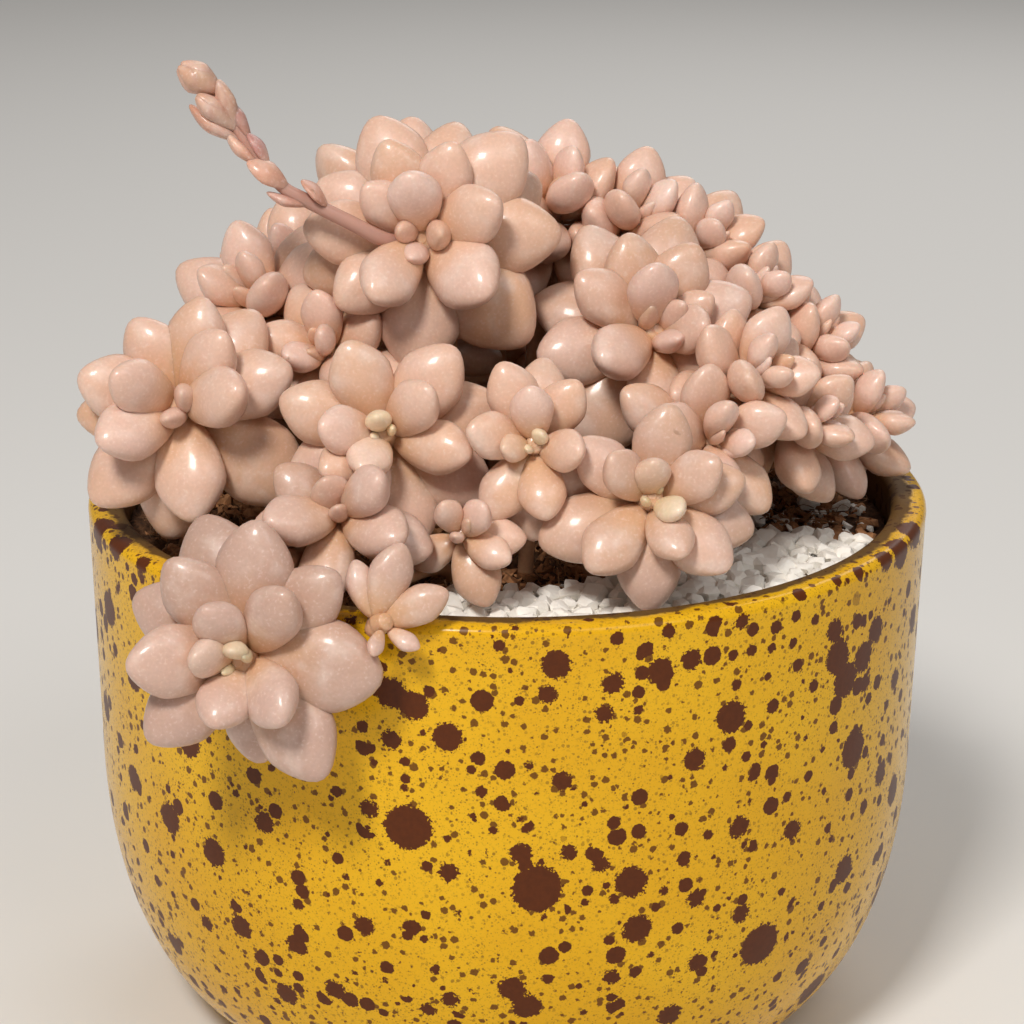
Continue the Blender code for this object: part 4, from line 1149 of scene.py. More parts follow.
@dataclass
class Fibres:
    """Coir fibres that lie on the soil: short bowed threads, in fixed variants."""
    finish: TwoTone = field(default_factory=lambda: TwoTone(
        "coir_fibre", 0.8, 0.3, (0.10, 0.045, 0.020), (0.42, 0.24, 0.12), 1500.0, 0.2))
    density: float = 90000.0
    thickness: float = 0.00008
    length: float = 0.0042
    sides: int = 3
    bends: int = 7
    rise: float = 0.0011
    seed: int = 5
    bows: tuple = ((0.4, 0.2), (-0.5, 0.35), (0.15, 0.6), (0.7, 0.1), (-0.2, 0.45))
    leans: tuple = (0.5, 0.3)
    sizes: tuple = (0.35, 1.3)
    cell: float = 0.002

    def recipe(self) -> Recipe:
        """Builds the tree that strews the fibres.

        Returns:
            The tree.
        """
        recipe = Recipe("coir_fibres_strewn", {
            "Density": self.density, "Thickness": self.thickness, "Length": self.length, "Sides": self.sides,
            "Bends": self.bends, "Finish": self.finish.material()})
        tree = recipe.tree
        section = tree.node("GeometryNodeCurvePrimitiveCircle", None,
                            {"Resolution": recipe.size("Sides"), "Radius": recipe.size("Thickness")})
        forms = []
        for bow, lift in self.bows:
            line = {"Resolution": recipe.size("Bends"), "Start": (-0.5, 0.0, 0.0), "Middle": (0.0, bow, lift),
                    "End": (0.5, 0.1, -0.05)}
            bent = tree.node("GeometryNodeCurveQuadraticBezier", None, line)
            sized = tree.node("GeometryNodeSetPosition", None, {
                "Geometry": bent, "Position": tree.node("GeometryNodeInputPosition") * recipe.size("Length")})
            thread = tree.node("GeometryNodeCurveToMesh", None, {
                "Curve": sized, "Profile Curve": section, "Fill Caps": True})
            forms.append(tree.node("GeometryNodeGeometryToInstance", None, {"Geometry": thread}))
        points = tree.node("GeometryNodeDistributePointsOnFaces", {"distribute_method": "RANDOM"}, {
            "Mesh": recipe.size("Geometry"), "Seed": self.seed,
            "Density": recipe.size("Density") * recipe.carried("cover")}, "Points")
        kept = recipe.keep(points, "tint", recipe.draw(0.0, 1.0, self.seed + 1))
        roll, pitch = self.leans
        lean = tree.vector(recipe.draw(-roll, roll, self.seed + 2), recipe.draw(-pitch, pitch, self.seed + 3),
                           recipe.draw(0.0, math.tau, self.seed + 4))
        index = recipe.draw(0, len(self.bows) - 1, self.seed + 5, "INT")
        size = recipe.draw(*self.sizes, self.seed + 6)
        recipe.close(recipe.strew(kept, forms, index, lean, size), True, "Finish")
        return recipe

    def build(self, pot: PotForm, ground: Ground) -> Object:
        """Strews the fibres over the ground."""
        patch = surface_patch("coir_fibres", pot, ground, self.rise, self.cell, COVER.bark)
        return declare(self.recipe().make("coir_fibres", patch, ("cover",)), Slot.SOIL)


# Leafy stems

@dataclass(frozen=True)
class LeafForm:
    """A leaf's sizes as shares of its length, and a stem's as shares of its largest leaf."""
    width: float = 0.70
    thick: float = 0.54
    middle: float = 0.60
    half: float = 0.42
    hook: float = 0.05
    neck: float = 0.16
    point: float = 0.100
    taper: float = 0.10
    flat: float = 0.12
    full: float = 1.16
    plump: float = 1.08
    young: float = 0.54
    grown_age: float = 0.45
    growth_curve: float = 0.8
    stem: float = 0.115
    root_sink: float = 0.14
    core: float = 0.21
    core_back: float = 0.10
    core_front: float = 0.06


@dataclass(frozen=True)
class StemForm:
    """How a stem runs from its hole in the soil to its head."""
    foot_share: float = 0.72
    foot_reach: float = 0.029
    depth: float = 0.0060
    upright: float = 0.0015
    ease: float = 0.4


LEAF = LeafForm()
STEM = StemForm()


@dataclass
class Stem:
    """A leafy stem: its growing point, the way that this faces, and how its leaves follow."""
    name: str
    apex: tuple
    facing: tuple
    leaf: float
    count: int = 0
    first: float = 0
    turn: int = 1
    opening: tuple = (15, 98)
    reach: float = 0.009
    spiral: float = SPIRAL
    spread: float = 0.7
    hub: float = 0.2
    foot: tuple | None = None
    route: tuple = ()

    @property
    def seen(self) -> tuple:
        """The leaves that are set one by one, if they are."""
        return LEAVES_SEEN.get(self.name, ())

    @property
    def axis(self) -> Array:
        """The way that the rosette faces."""
        across, up = (math.radians(angle) for angle in self.facing)
        return np.array([math.sin(across) * math.cos(up), -math.cos(across) * math.cos(up), math.sin(up)])

    @property
    def radius(self) -> float:
        """The bare stem's radius."""
        return LEAF.stem * self.leaf


# The leaves of the front's stems, youngest first, each as it stands to someone who looks at the front
# from a little above: its turn on the clock from straight up, its lean away from the eye, both in
# degrees, and its share of the stem's largest leaf.
LEAVES_SEEN = {
    "crown": ((346, 38, 0.66), (230, 46, 0.70), (68, 52, 0.70), (305, 56, 0.66), (133, 52, 0.80),
              (19, 76, 0.78), (338, 72, 0.78), (266, 84, 0.94), (236, 82, 0.94), (43, 92, 1.0),
              (83, 90, 1.0), (188, 88, 1.0), (136, 92, 1.06), (335, 95, 1.0), (10, 98, 1.0),
              (301, 98, 0.95), (258, 100, 1.0), (60, 104, 1.0)),
    "peak": ((358, 45, 0.62), (240, 40, 0.70), (82, 50, 0.66), (60, 65, 0.55), (173, 68, 0.74),
             (311, 74, 0.74), (108, 74, 0.76), (24, 84, 0.78), (65, 84, 0.80), (342, 88, 0.90),
             (260, 80, 0.84), (139, 90, 0.93), (211, 90, 0.98), (303, 96, 1.05), (325, 96, 1.08),
             (17, 102, 1.0), (98, 100, 0.85)),
    "left": ((296, 42, 0.72), (80, 44, 0.78), (242, 52, 0.77), (33, 67, 0.76), (286, 70, 0.82),
             (171, 80, 0.86), (8, 84, 0.86), (338, 86, 0.82), (67, 84, 0.96), (259, 88, 0.88),
             (227, 88, 1.04), (41, 95, 1.0), (126, 92, 1.1), (192, 100, 1.05)),
    "spill": ((320, 12, 0.30), (275, 38, 0.49), (325, 38, 0.60), (142, 46, 0.66), (202, 48, 0.60),
              (38, 55, 0.80), (264, 62, 0.84), (322, 82, 0.84), (230, 86, 0.85), (9, 84, 1.0),
              (90, 84, 1.06), (146, 86, 1.0), (45, 84, 1.14), (300, 98, 0.88), (341, 96, 1.06),
              (68, 100, 1.02), (172, 98, 0.8)),
    "brow": ((340, 20, 0.36), (205, 38, 0.62), (272, 48, 0.72), (48, 46, 0.74), (222, 66, 0.78),
             (103, 66, 0.80), (337, 74, 0.86), (39, 80, 0.95), (286, 86, 0.98), (248, 88, 0.95),
             (167, 88, 1.0), (119, 92, 1.05), (76, 94, 1.05)),
    "nest": ((30, 20, 0.32), (262, 38, 0.50), (355, 50, 0.76), (100, 46, 0.76), (283, 62, 0.80),
             (172, 68, 0.86), (211, 84, 0.95), (339, 84, 1.0), (33, 78, 0.85), (129, 90, 0.95),
             (5, 98, 1.0), (180, 100, 1.0)),
    "rim": ((110, 30, 0.42), (0, 38, 0.50), (318, 48, 0.62), (150, 50, 0.66), (62, 68, 0.76),
            (222, 72, 0.78), (131, 76, 0.84), (12, 80, 0.82), (77, 86, 0.82), (180, 92, 0.88),
            (306, 88, 0.8), (252, 92, 0.93), (100, 98, 0.95)),
    "tuck": ((330, 42, 0.72), (40, 44, 0.78), (118, 66, 0.85), (90, 92, 0.9), (160, 88, 1.1),
             (250, 100, 0.85)),
    "shoulder": ((48, 46, 0.80), (262, 48, 0.88), (112, 50, 0.85), (340, 44, 0.60), (200, 75, 0.9),
                 (265, 90, 0.85), (114, 90, 0.95), (20, 92, 0.9), (310, 92, 0.9)),
    "sprig": ((200, 55, 0.35), (121, 75, 0.42), (64, 84, 0.82), (14, 84, 0.94), (342, 88, 0.72)),
}

# Facing is in degrees: across from -Y towards +X, then up. Lengths are in metres.
STEMS = [
    Stem("crown", (-0.0115, -0.0180, 0.1177), (-5, 14), 0.0146, reach=0.006),
    Stem("peak", (0.0201, -0.0180, 0.1052), (14, 30), 0.0144, reach=0.007),
    Stem("left", (-0.0439, -0.0300, 0.0979), (-14, 24), 0.0136, reach=0.006),
    Stem("spill", (-0.0328, -0.0630, 0.0746), (-10, 8), 0.0144, reach=0.005,
         foot=(-0.0200, -0.0290),
         route=((-0.0265, -0.0430, 0.0810), (-0.0305, -0.0530, 0.0826), (-0.0325, -0.0575, 0.0795))),
    Stem("brow", (-0.0160, -0.0400, 0.0972), (-3, 22), 0.0118, reach=0.007),
    Stem("nest", (0.0035, -0.0420, 0.0963), (-1, 22), 0.0094, reach=0.004),
    Stem("rim", (0.0184, -0.0460, 0.0906), (5, 34), 0.0122, reach=0.004),
    Stem("tuck", (-0.0060, -0.0470, 0.0862), (-5, 35), 0.0070, reach=0.004),
    Stem("shoulder", (-0.0215, -0.0460, 0.0890), (-10, 45), 0.0105, reach=0.005),
    Stem("sprig", (-0.0148, -0.0620, 0.0795), (40, 30), 0.0090, reach=0.002,
         foot=(-0.0082, -0.0300), route=((-0.0125, -0.0420, 0.0785), (-0.0145, -0.0540, 0.0812))),
    Stem("under", (-0.0250, -0.0200, 0.1030), (-20, 35), 0.0094, 11, 10, -1, reach=0.007),
    Stem("wing_front", (-0.0355, -0.0060, 0.1070), (-35, 50), 0.0118, 13, 70, 1),
    Stem("wing_top", (-0.0305, 0.0080, 0.1085), (-25, 60), 0.0108, 10, 170, -1, reach=0.008),
    Stem("ridge_left", (0.0065, 0.0060, 0.1195), (15, 62), 0.0120, 13, 15, 1),
    Stem("ridge_right", (0.0180, 0.0040, 0.1170), (35, 55), 0.0110, 13, 110, -1),
    Stem("slope_top", (0.0285, 0.0032, 0.1134), (50, 50), 0.0098, 12, 60, 1),
    Stem("slope_upper", (0.0355, -0.0040, 0.1075), (55, 45), 0.0096, 13, 220, -1),
    Stem("slope_lower", (0.0445, -0.0020, 0.1000), (65, 40), 0.0092, 13, 300, 1),
    Stem("slope_end", (0.0515, -0.0060, 0.0905), (70, 30), 0.0090, 13, 30, -1),
    Stem("slope_front", (0.0420, -0.0200, 0.0935), (45, 25), 0.0092, 13, 130, 1),
    Stem("slope_inner", (0.0340, -0.0260, 0.1015), (40, 30), 0.0094, 13, 250, -1),
    Stem("gully", (0.0280, -0.0340, 0.0945), (30, 20), 0.0094, 10, 330, 1, reach=0.007),
    Stem("back_left_low", (-0.0440, 0.0140, 0.0930), (-110, 45), 0.0125, 11, 0, 1),
    Stem("back_left", (-0.0270, 0.0360, 0.0950), (-150, 45), 0.0130, 11, 90, -1),
    Stem("back_middle", (0.0010, 0.0430, 0.0885), (175, 45), 0.0130, 11, 200, 1),
    Stem("back_right", (0.0300, 0.0340, 0.0930), (140, 45), 0.0125, 11, 310, -1),
    Stem("back_right_low", (0.0460, 0.0140, 0.0890), (105, 40), 0.0110, 11, 45, 1),
    Stem("cap", (-0.0140, 0.0090, 0.1190), (170, 55), 0.0130, 12, 150, -1),
    Stem("back_top_right", (0.0210, 0.0215, 0.1075), (120, 70), 0.0125, 11, 260, 1),
    Stem("back_top_left", (-0.0365, 0.0230, 0.1035), (-110, 55), 0.0120, 11, 350, -1),
    Stem("back_top", (-0.0020, 0.0280, 0.1120), (180, 55), 0.0125, 12, 30, -1),
]
STALK_PATH = [(-0.0168, -0.0205, 0.1182), (-0.0203, -0.0216, 0.1203), (-0.0268, -0.0220, 0.1237),
              (-0.0298, -0.0220, 0.1255), (-0.0327, -0.0215, 0.1289), (-0.0355, -0.0208, 0.1326),
              (-0.0377, -0.0200, 0.1373)]
STALK_RADIUS = 0.0011


def unit(vectors: Array) -> Array:
    """Vectors made one long."""
    return vectors / np.linalg.norm(vectors, axis=-1, keepdims=True)


def stem_path(stem: Stem, ground: Ground) -> list[Array]:
    """A stem's line from the bottom of its hole to the back of its growing point.

    Args:
        stem: The stem.
        ground: The soil's surface.

    Returns:
        The points of the line.
    """
    low = np.array(stem.apex) - stem.axis * (stem.reach + LEAF.core_back * stem.leaf)
    pull = min(STEM.foot_share, STEM.foot_reach / math.hypot(low[0], low[1]))
    foot = stem.foot or tuple(pull * low[:2])
    level = ground.height(*foot)
    bottom = np.array([*foot, level - STEM.depth + ground.gap])
    rise = np.array([*foot, level + STEM.upright])
    if stem.route:
        return [bottom, rise, *(np.array(point) for point in stem.route), low]
    ease = STEM.ease * np.linalg.norm(low - rise)
    lean_out = rise + np.array([0, 0, ease])
    lean_in = low - stem.axis * ease
    return [bottom, rise, (rise + 3 * lean_out + 3 * lean_in + low) / 8, low]


def along(path: Sequence[Array], spacing: float) -> Array:
    """Points close together along a line.

    Args:
        path: The line's own points.
        spacing: How far they may lie apart.

    Returns:
        The points.
    """
    points = []
    for start, end in zip(path[:-1], path[1:]):
        count = max(1, int(np.linalg.norm(end - start) / spacing))
        points += [start + (end - start) * i / count for i in range(count)]
    return np.array(points + [path[-1]])


def sides(axis: Array) -> tuple[Array, Array]:
    """Two directions across an axis: one level, one at right angles to both."""
    aside = unit(np.cross([0.0, 0.0, 1.0], axis))
    return aside, np.cross(axis, aside)


def spiral_leaves(stem: Stem) -> list[tuple]:
    """A stem's leaves as they grow, in a spiral round the growing point.

    Args:
        stem: The stem.

    Returns:
        Root, way, face and length of each.
    """
    aside, above = sides(stem.axis)
    leaves = []
    for number in range(stem.count):
        age = number / (stem.count - 1)
        start, end = stem.opening
        open_angle = math.radians(start + (end - start) * age ** stem.spread)
        round_angle = math.radians(stem.first + stem.turn * number * stem.spiral)
        side = math.cos(round_angle) * aside + math.sin(round_angle) * above
        way = math.cos(open_angle) * stem.axis + math.sin(open_angle) * side
        face = math.sin(open_angle) * stem.axis - math.cos(open_angle) * side
        growth = min(1, age / LEAF.grown_age) ** LEAF.growth_curve
        length = stem.leaf * (LEAF.young + (1 - LEAF.young) * growth)
        root = np.array(stem.apex) - stem.axis * stem.reach * age
        root = root + side * stem.hub * stem.leaf * math.sin(open_angle)
        leaves.append((root, way, face, length))
    return leaves


def seen_leaves(stem: Stem) -> list[tuple]:
    """A stem's leaves as they are set one by one.

    Args:
        stem: The stem.

    Returns:
        Root, way, face and length of each.
    """
    sight = np.array([0.0, -math.cos(VIEW_RISE), math.sin(VIEW_RISE)])
    right = np.array([1.0, 0.0, 0.0])
    above = np.array([0.0, math.sin(VIEW_RISE), math.cos(VIEW_RISE)])
    leaves = []
    for number, (clock, lean, share) in enumerate(stem.seen):
        turn, tilt = math.radians(clock), math.radians(lean)
        across = math.sin(turn) * right + math.cos(turn) * above
        way = math.cos(tilt) * sight + math.sin(tilt) * across
        out = way - (way @ stem.axis) * stem.axis
        face = unit(stem.axis - (way @ stem.axis) * way)
        age = number / (len(stem.seen) - 1)
        root = np.array(stem.apex) - stem.axis * stem.reach * age + out * stem.hub * stem.leaf
        leaves.append((root, way, face, stem.leaf * share))
    return leaves


def grown_leaves(stem: Stem) -> list[tuple]:
    """A stem's leaves, set one by one or by the spiral."""
    return seen_leaves(stem) if stem.seen else spiral_leaves(stem)


def spreads(way: Array, face: Array, length: Array) -> Array:
    """The matrix of each leaf's fat part, taken as an ellipsoid."""
    sizes = ((LEAF.half, way), (LEAF.width / 2, np.cross(way, face)), (LEAF.thick / 2, face))
    return sum(((share * length) ** 2)[:, None, None] * v[:, :, None] * v[:, None, :] for share, v in sizes)


def half_depth(spread: Array, way: Array) -> Array:
    """How far an ellipsoid reaches in a direction."""
    return np.sqrt(np.einsum("ki,kij,kj->k", way, spread, way))


def leaf_gaps(first: Array, second: Array, between: Array, turns: int = 4,
              ease: float = 0.6) -> tuple[Array, Array]:
    """The clear distance between pairs of leaves.

    Args:
        first: The fat part of one leaf of each pair.
        second: The fat part of the other.
        between: The line from one middle to the other.
        turns: How often the direction is bettered.
        ease: How far it turns each time.

    Returns:
        The distance, and the direction in which it is widest.
    """
    distance = np.linalg.norm(between, axis=1)[:, None]
    way = between / distance
    for _ in range(turns):
        slope = between
        for spread in (first, second):
            slope = slope - np.einsum("kij,kj->ki", spread, way) / half_depth(spread, way)[:, None]
        slope = slope - (slope * way).sum(1)[:, None] * way
        way = unit(way + ease * slope / distance)
    return (between * way).sum(1) - half_depth(first, way) - half_depth(second, way), way


@dataclass
class Crowd:
    """Every leaf of every stem, each with its fat part taken as an ellipsoid that presses on the others."""
    stems: Sequence[Stem]
    pot: PotForm
    ground: Ground
    rounds: int = 110
    clear: float = 0.0005
    tight: float = 0.0004
    own_lap: float = 0.0006
    give: float = 0.35
    hard_give: float = 0.5
    most_push: float = 0.003
    most_move: float = 0.002
    most_bend: float = math.radians(43)
    most_slide: float = 0.16
    most_shrink: float = 0.04
    least_length: float = 0.45
    home_pull: float = 0.04
    digits: int = 8
    near_leaf: float = 0.0015
    near_stick: float = 0.0035
    near_every: int = 6
    shrink_after: int = 20
    shrink_every: int = 3
    stem_room: float = 1.1
    stalk_room: float = 1.4
    rim_depth: float = 0.001
    rim_inside: float = 0.002
    soil_rise: float = 0.0018
    gravel_rise: float = 0.0016

    def __post_init__(self) -> None:
        """Sets the leaves out as they grow."""
        grown = [(number, *leaf) for number, stem in enumerate(self.stems) for leaf in grown_leaves(stem)]
        self.owner = np.array([leaf[0] for leaf in grown])
        self.roots, self.ways, self.faces = (np.array([leaf[i] for leaf in grown]) for i in (1, 2, 3))
        self.lengths = np.array([leaf[4] for leaf in grown])
        self.root, self.way, self.face, self.length = self.roots, self.ways, self.faces, self.lengths
        self.centre = self.middles()
        self.find_sticks()

    def middles(self) -> Array:
        """The middle of each leaf's fat part."""
        return self.root + self.way * (LEAF.middle * self.length)[:, None]

    def find_sticks(self) -> None:
        """Lists points along every stem and the flower stalk, which leaves stay off."""
        sticks = []
        for number, stem in enumerate(self.stems):
            path = stem_path(stem, self.ground)
            end = [path[-1], np.array(stem.apex)]
            sticks.append((number, self.stem_room * stem.radius, along(path, POINT_SPACING)))
            sticks.append((number, LEAF.core * stem.leaf, along(end, POINT_SPACING)))
        stalk = along([np.array(point) for point in STALK_PATH], POINT_SPACING)
        sticks.append((-1, self.stalk_room * STALK_RADIUS, stalk))
        self.stick_owner = np.concatenate([[number] * len(line) for number, _, line in sticks])
        self.stick_radius = np.concatenate([[size] * len(line) for _, size, line in sticks])
        self.stick = np.concatenate([line for _, _, line in sticks])

    def find_near(self) -> None:
        """Lists the pairs of leaves, and of leaves and stems, that may touch."""
        one, two = np.triu_indices(len(self.owner), 1)
        reach = LEAF.half * (self.length[one] + self.length[two]) + self.near_leaf
        near = np.linalg.norm(self.centre[one] - self.centre[two], axis=1) < reach
        self.one, self.two = one[near], two[near]
        self.same = self.owner[self.one] == self.owner[self.two]
        apart = np.linalg.norm(self.centre[:, None] - self.stick[None], axis=2)
        reach = (LEAF.half * self.length)[:, None] + self.near_stick
        others = self.owner[:, None] != self.stick_owner[None]
        self.leaf_at, self.stick_at = np.nonzero((apart < reach) & others)

    def pushed(self, gap: Array, wanted: Any, share: float) -> Array:
        """How far to move something whose gap is too small."""
        return np.clip(wanted - gap, 0, self.most_push) * share

    def pair_gaps(self, spread: Array) -> tuple[Array, Array]:
        """The gap between each near pair of leaves, and its direction."""
        between = self.centre[self.two] - self.centre[self.one]
        return leaf_gaps(spread[self.one], spread[self.two], between)

    def push_off_rim(self, spread: Array, across: Array, out: Array) -> Array:
        """Moves leaves off the pot's rounded rim and its outer wall.

        Args:
            spread: Each leaf's fat part.
            across: Its middle's distance from the pot's axis.
            out: Its direction from there.

        Returns:
            How far each leaf moves.
        """
        half = self.pot.wall / 2
        ring = out * (self.pot.radius - half)
        ring[:, 2] = self.pot.height - half
        off = self.centre - ring
        way = unit(off)
        gap = np.linalg.norm(off, axis=1) - half_depth(spread, way) - half
        move = way * self.pushed(gap, self.clear, self.hard_give)[:, None]
        beside = (self.centre[:, 2] < self.pot.height - self.rim_depth) \
            & (across > self.pot.radius - self.rim_inside)
        gap = across - half_depth(spread, out) - self.pot.radius
        return move + out * np.where(beside, self.pushed(gap, self.clear, self.hard_give), 0)[:, None]

    def push_off_soil(self, spread: Array, across: Array) -> Array:
        """Moves leaves up off the soil and the gravel.

        Args:
            spread: Each leaf's fat part.
            across: Its middle's distance from the pot's axis.

        Returns:
            How far each leaf moves.
        """
        ground = self.ground
        up = np.tile([0.0, 0.0, 1.0], (len(self.centre), 1))
        level = ground.level - ground.fall * self.centre[:, 1] + self.soil_rise
        angle = np.degrees(np.arctan2(self.centre[:, 1], self.centre[:, 0]))
        near_edge = ground.ring(self.pot, ground.gravel_rings[0] - 0.5)
        on_gravel = (angle > ground.gravel_from) & (angle < ground.gravel_to) & (across > near_edge)
        level = level + np.where(on_gravel, self.gravel_rise, 0)
        gap = self.centre[:, 2] - half_depth(spread, up) - level
        inside = across < self.pot.radius - self.pot.wall
        return up * np.where(inside, self.pushed(gap, 0, self.hard_give), 0)[:, None]

    def push_apart(self) -> None:
        """Moves the leaves off each other, the stems, the pot and the soil."""
        spread = spreads(self.way, self.face, self.length)
        gap, line = self.pair_gaps(spread)
        push = self.pushed(gap, np.where(self.same, -self.own_lap, self.clear), self.give)[:, None]
        across = np.hypot(self.centre[:, 0], self.centre[:, 1])
        out = np.stack([self.centre[:, 0] / across, self.centre[:, 1] / across, 0 * across], 1)
        move = self.push_off_rim(spread, across, out) + self.push_off_soil(spread, across)
        np.add.at(move, self.one, -line * push)
        np.add.at(move, self.two, line * push)
        off = self.centre[self.leaf_at] - self.stick[self.stick_at]
        line = unit(off)
        gap = np.linalg.norm(off, axis=1) - half_depth(spread[self.leaf_at], line)
        push = self.pushed(gap - self.stick_radius[self.stick_at], self.clear, self.give)[:, None]
        np.add.at(move, self.leaf_at, line * push)
        self.centre = self.centre + np.clip(move, -self.most_move, self.most_move)

    def follow(self) -> None:
        """Bends and slides each leaf to where its middle was pushed, as far as it can go."""
        home = self.roots + self.ways * (LEAF.middle * self.length)[:, None]
        self.centre += self.home_pull * (home - self.centre)
        stretch = self.centre - self.roots
        new_way = unit(stretch)
        straight = np.clip((new_way * self.ways).sum(1), -1, 1)
        sideways = unit(new_way - straight[:, None] * self.ways + 1e-9)
        bent = math.cos(self.most_bend) * self.ways + math.sin(self.most_bend) * sideways
        self.way = np.where((straight < math.cos(self.most_bend))[:, None], bent, new_way)
        slide = (stretch * self.way).sum(1) - LEAF.middle * self.length
        most = self.most_slide * self.length
        self.root = self.roots + self.way * np.clip(slide, -most, most)[:, None]
        self.face = unit(self.faces - (self.faces * self.way).sum(1)[:, None] * self.way)
        self.centre = np.round(self.middles(), self.digits)

    def shrink(self) -> None:
        """Makes leaves that still cross a little smaller."""
        gap, _ = self.pair_gaps(spreads(self.way, self.face, self.length))
        lack = np.clip(np.where(self.same, -self.own_lap, self.tight) - gap, 0, None)
        worst = np.zeros(len(self.owner))
        np.maximum.at(worst, self.one, lack)
        np.maximum.at(worst, self.two, lack)
        share = 1 - np.clip(self.give * worst / self.length, 0, self.most_shrink)
        self.length = np.maximum(self.length * share, self.least_length * self.lengths)

    def settle(self) -> None:
        """Lets the leaves bend, slide and stay smaller over a fixed number of rounds, so that the stems'
        leaves cross less.
        """
        for turn in range(self.rounds):
            if turn % self.near_every == 0:
                self.find_near()
            self.push_apart()
            self.follow()
            if turn > self.shrink_after and turn % self.shrink_every == 0:
                self.shrink()

    def leaves(self, number: int) -> list[tuple]:
        """One stem's leaves.

        Args:
            number: The stem's number.

        Returns:
            Anchor, middle, way, face and length of each.
        """
        anchor = self.roots - self.way * (LEAF.root_sink * self.length)[:, None]
        middle = self.middles()
        return [(anchor[i], middle[i], self.way[i], self.face[i], self.length[i])
                for i in np.nonzero(self.owner == number)[0]]


@dataclass
class Sprout:
    """What one leaf point carries to the tree that grows leaves."""
    anchor: Array
    middle: Array
    way: Array
    face: Array
    length: float
    wide: float
    thick: float
    tint: float
    youth: float
    mauve: float = 0.0


def smooth_line(points: Sequence[Array], swells: Sequence[float], parts: int) -> tuple[list, list]:
    """A rounded line through points, with a radius that changes evenly.

    Args:
        points: The points that the line goes through.
        swells: The radius at each.
        parts: The steps between two points.

    Returns:
        The line's points and their radii.
    """
    ends = [2 * points[0] - points[1], *points, 2 * points[-1] - points[-2]]
    line, radii = [], []
    for i in range(len(points) - 1):
        a, b, c, d = ends[i:i + 4]
        for step in range(parts):
            t = step / parts
            line.append(0.5 * (2 * b + (c - a) * t + (2 * a - 5 * b + 4 * c - d) * t * t
                               + (3 * b - a - 3 * c + d) * t ** 3))
            radii.append(swells[i] + (swells[i + 1] - swells[i]) * (3 * t * t - 2 * t ** 3))
    return [*line, points[-1]], [*radii, swells[-1]]


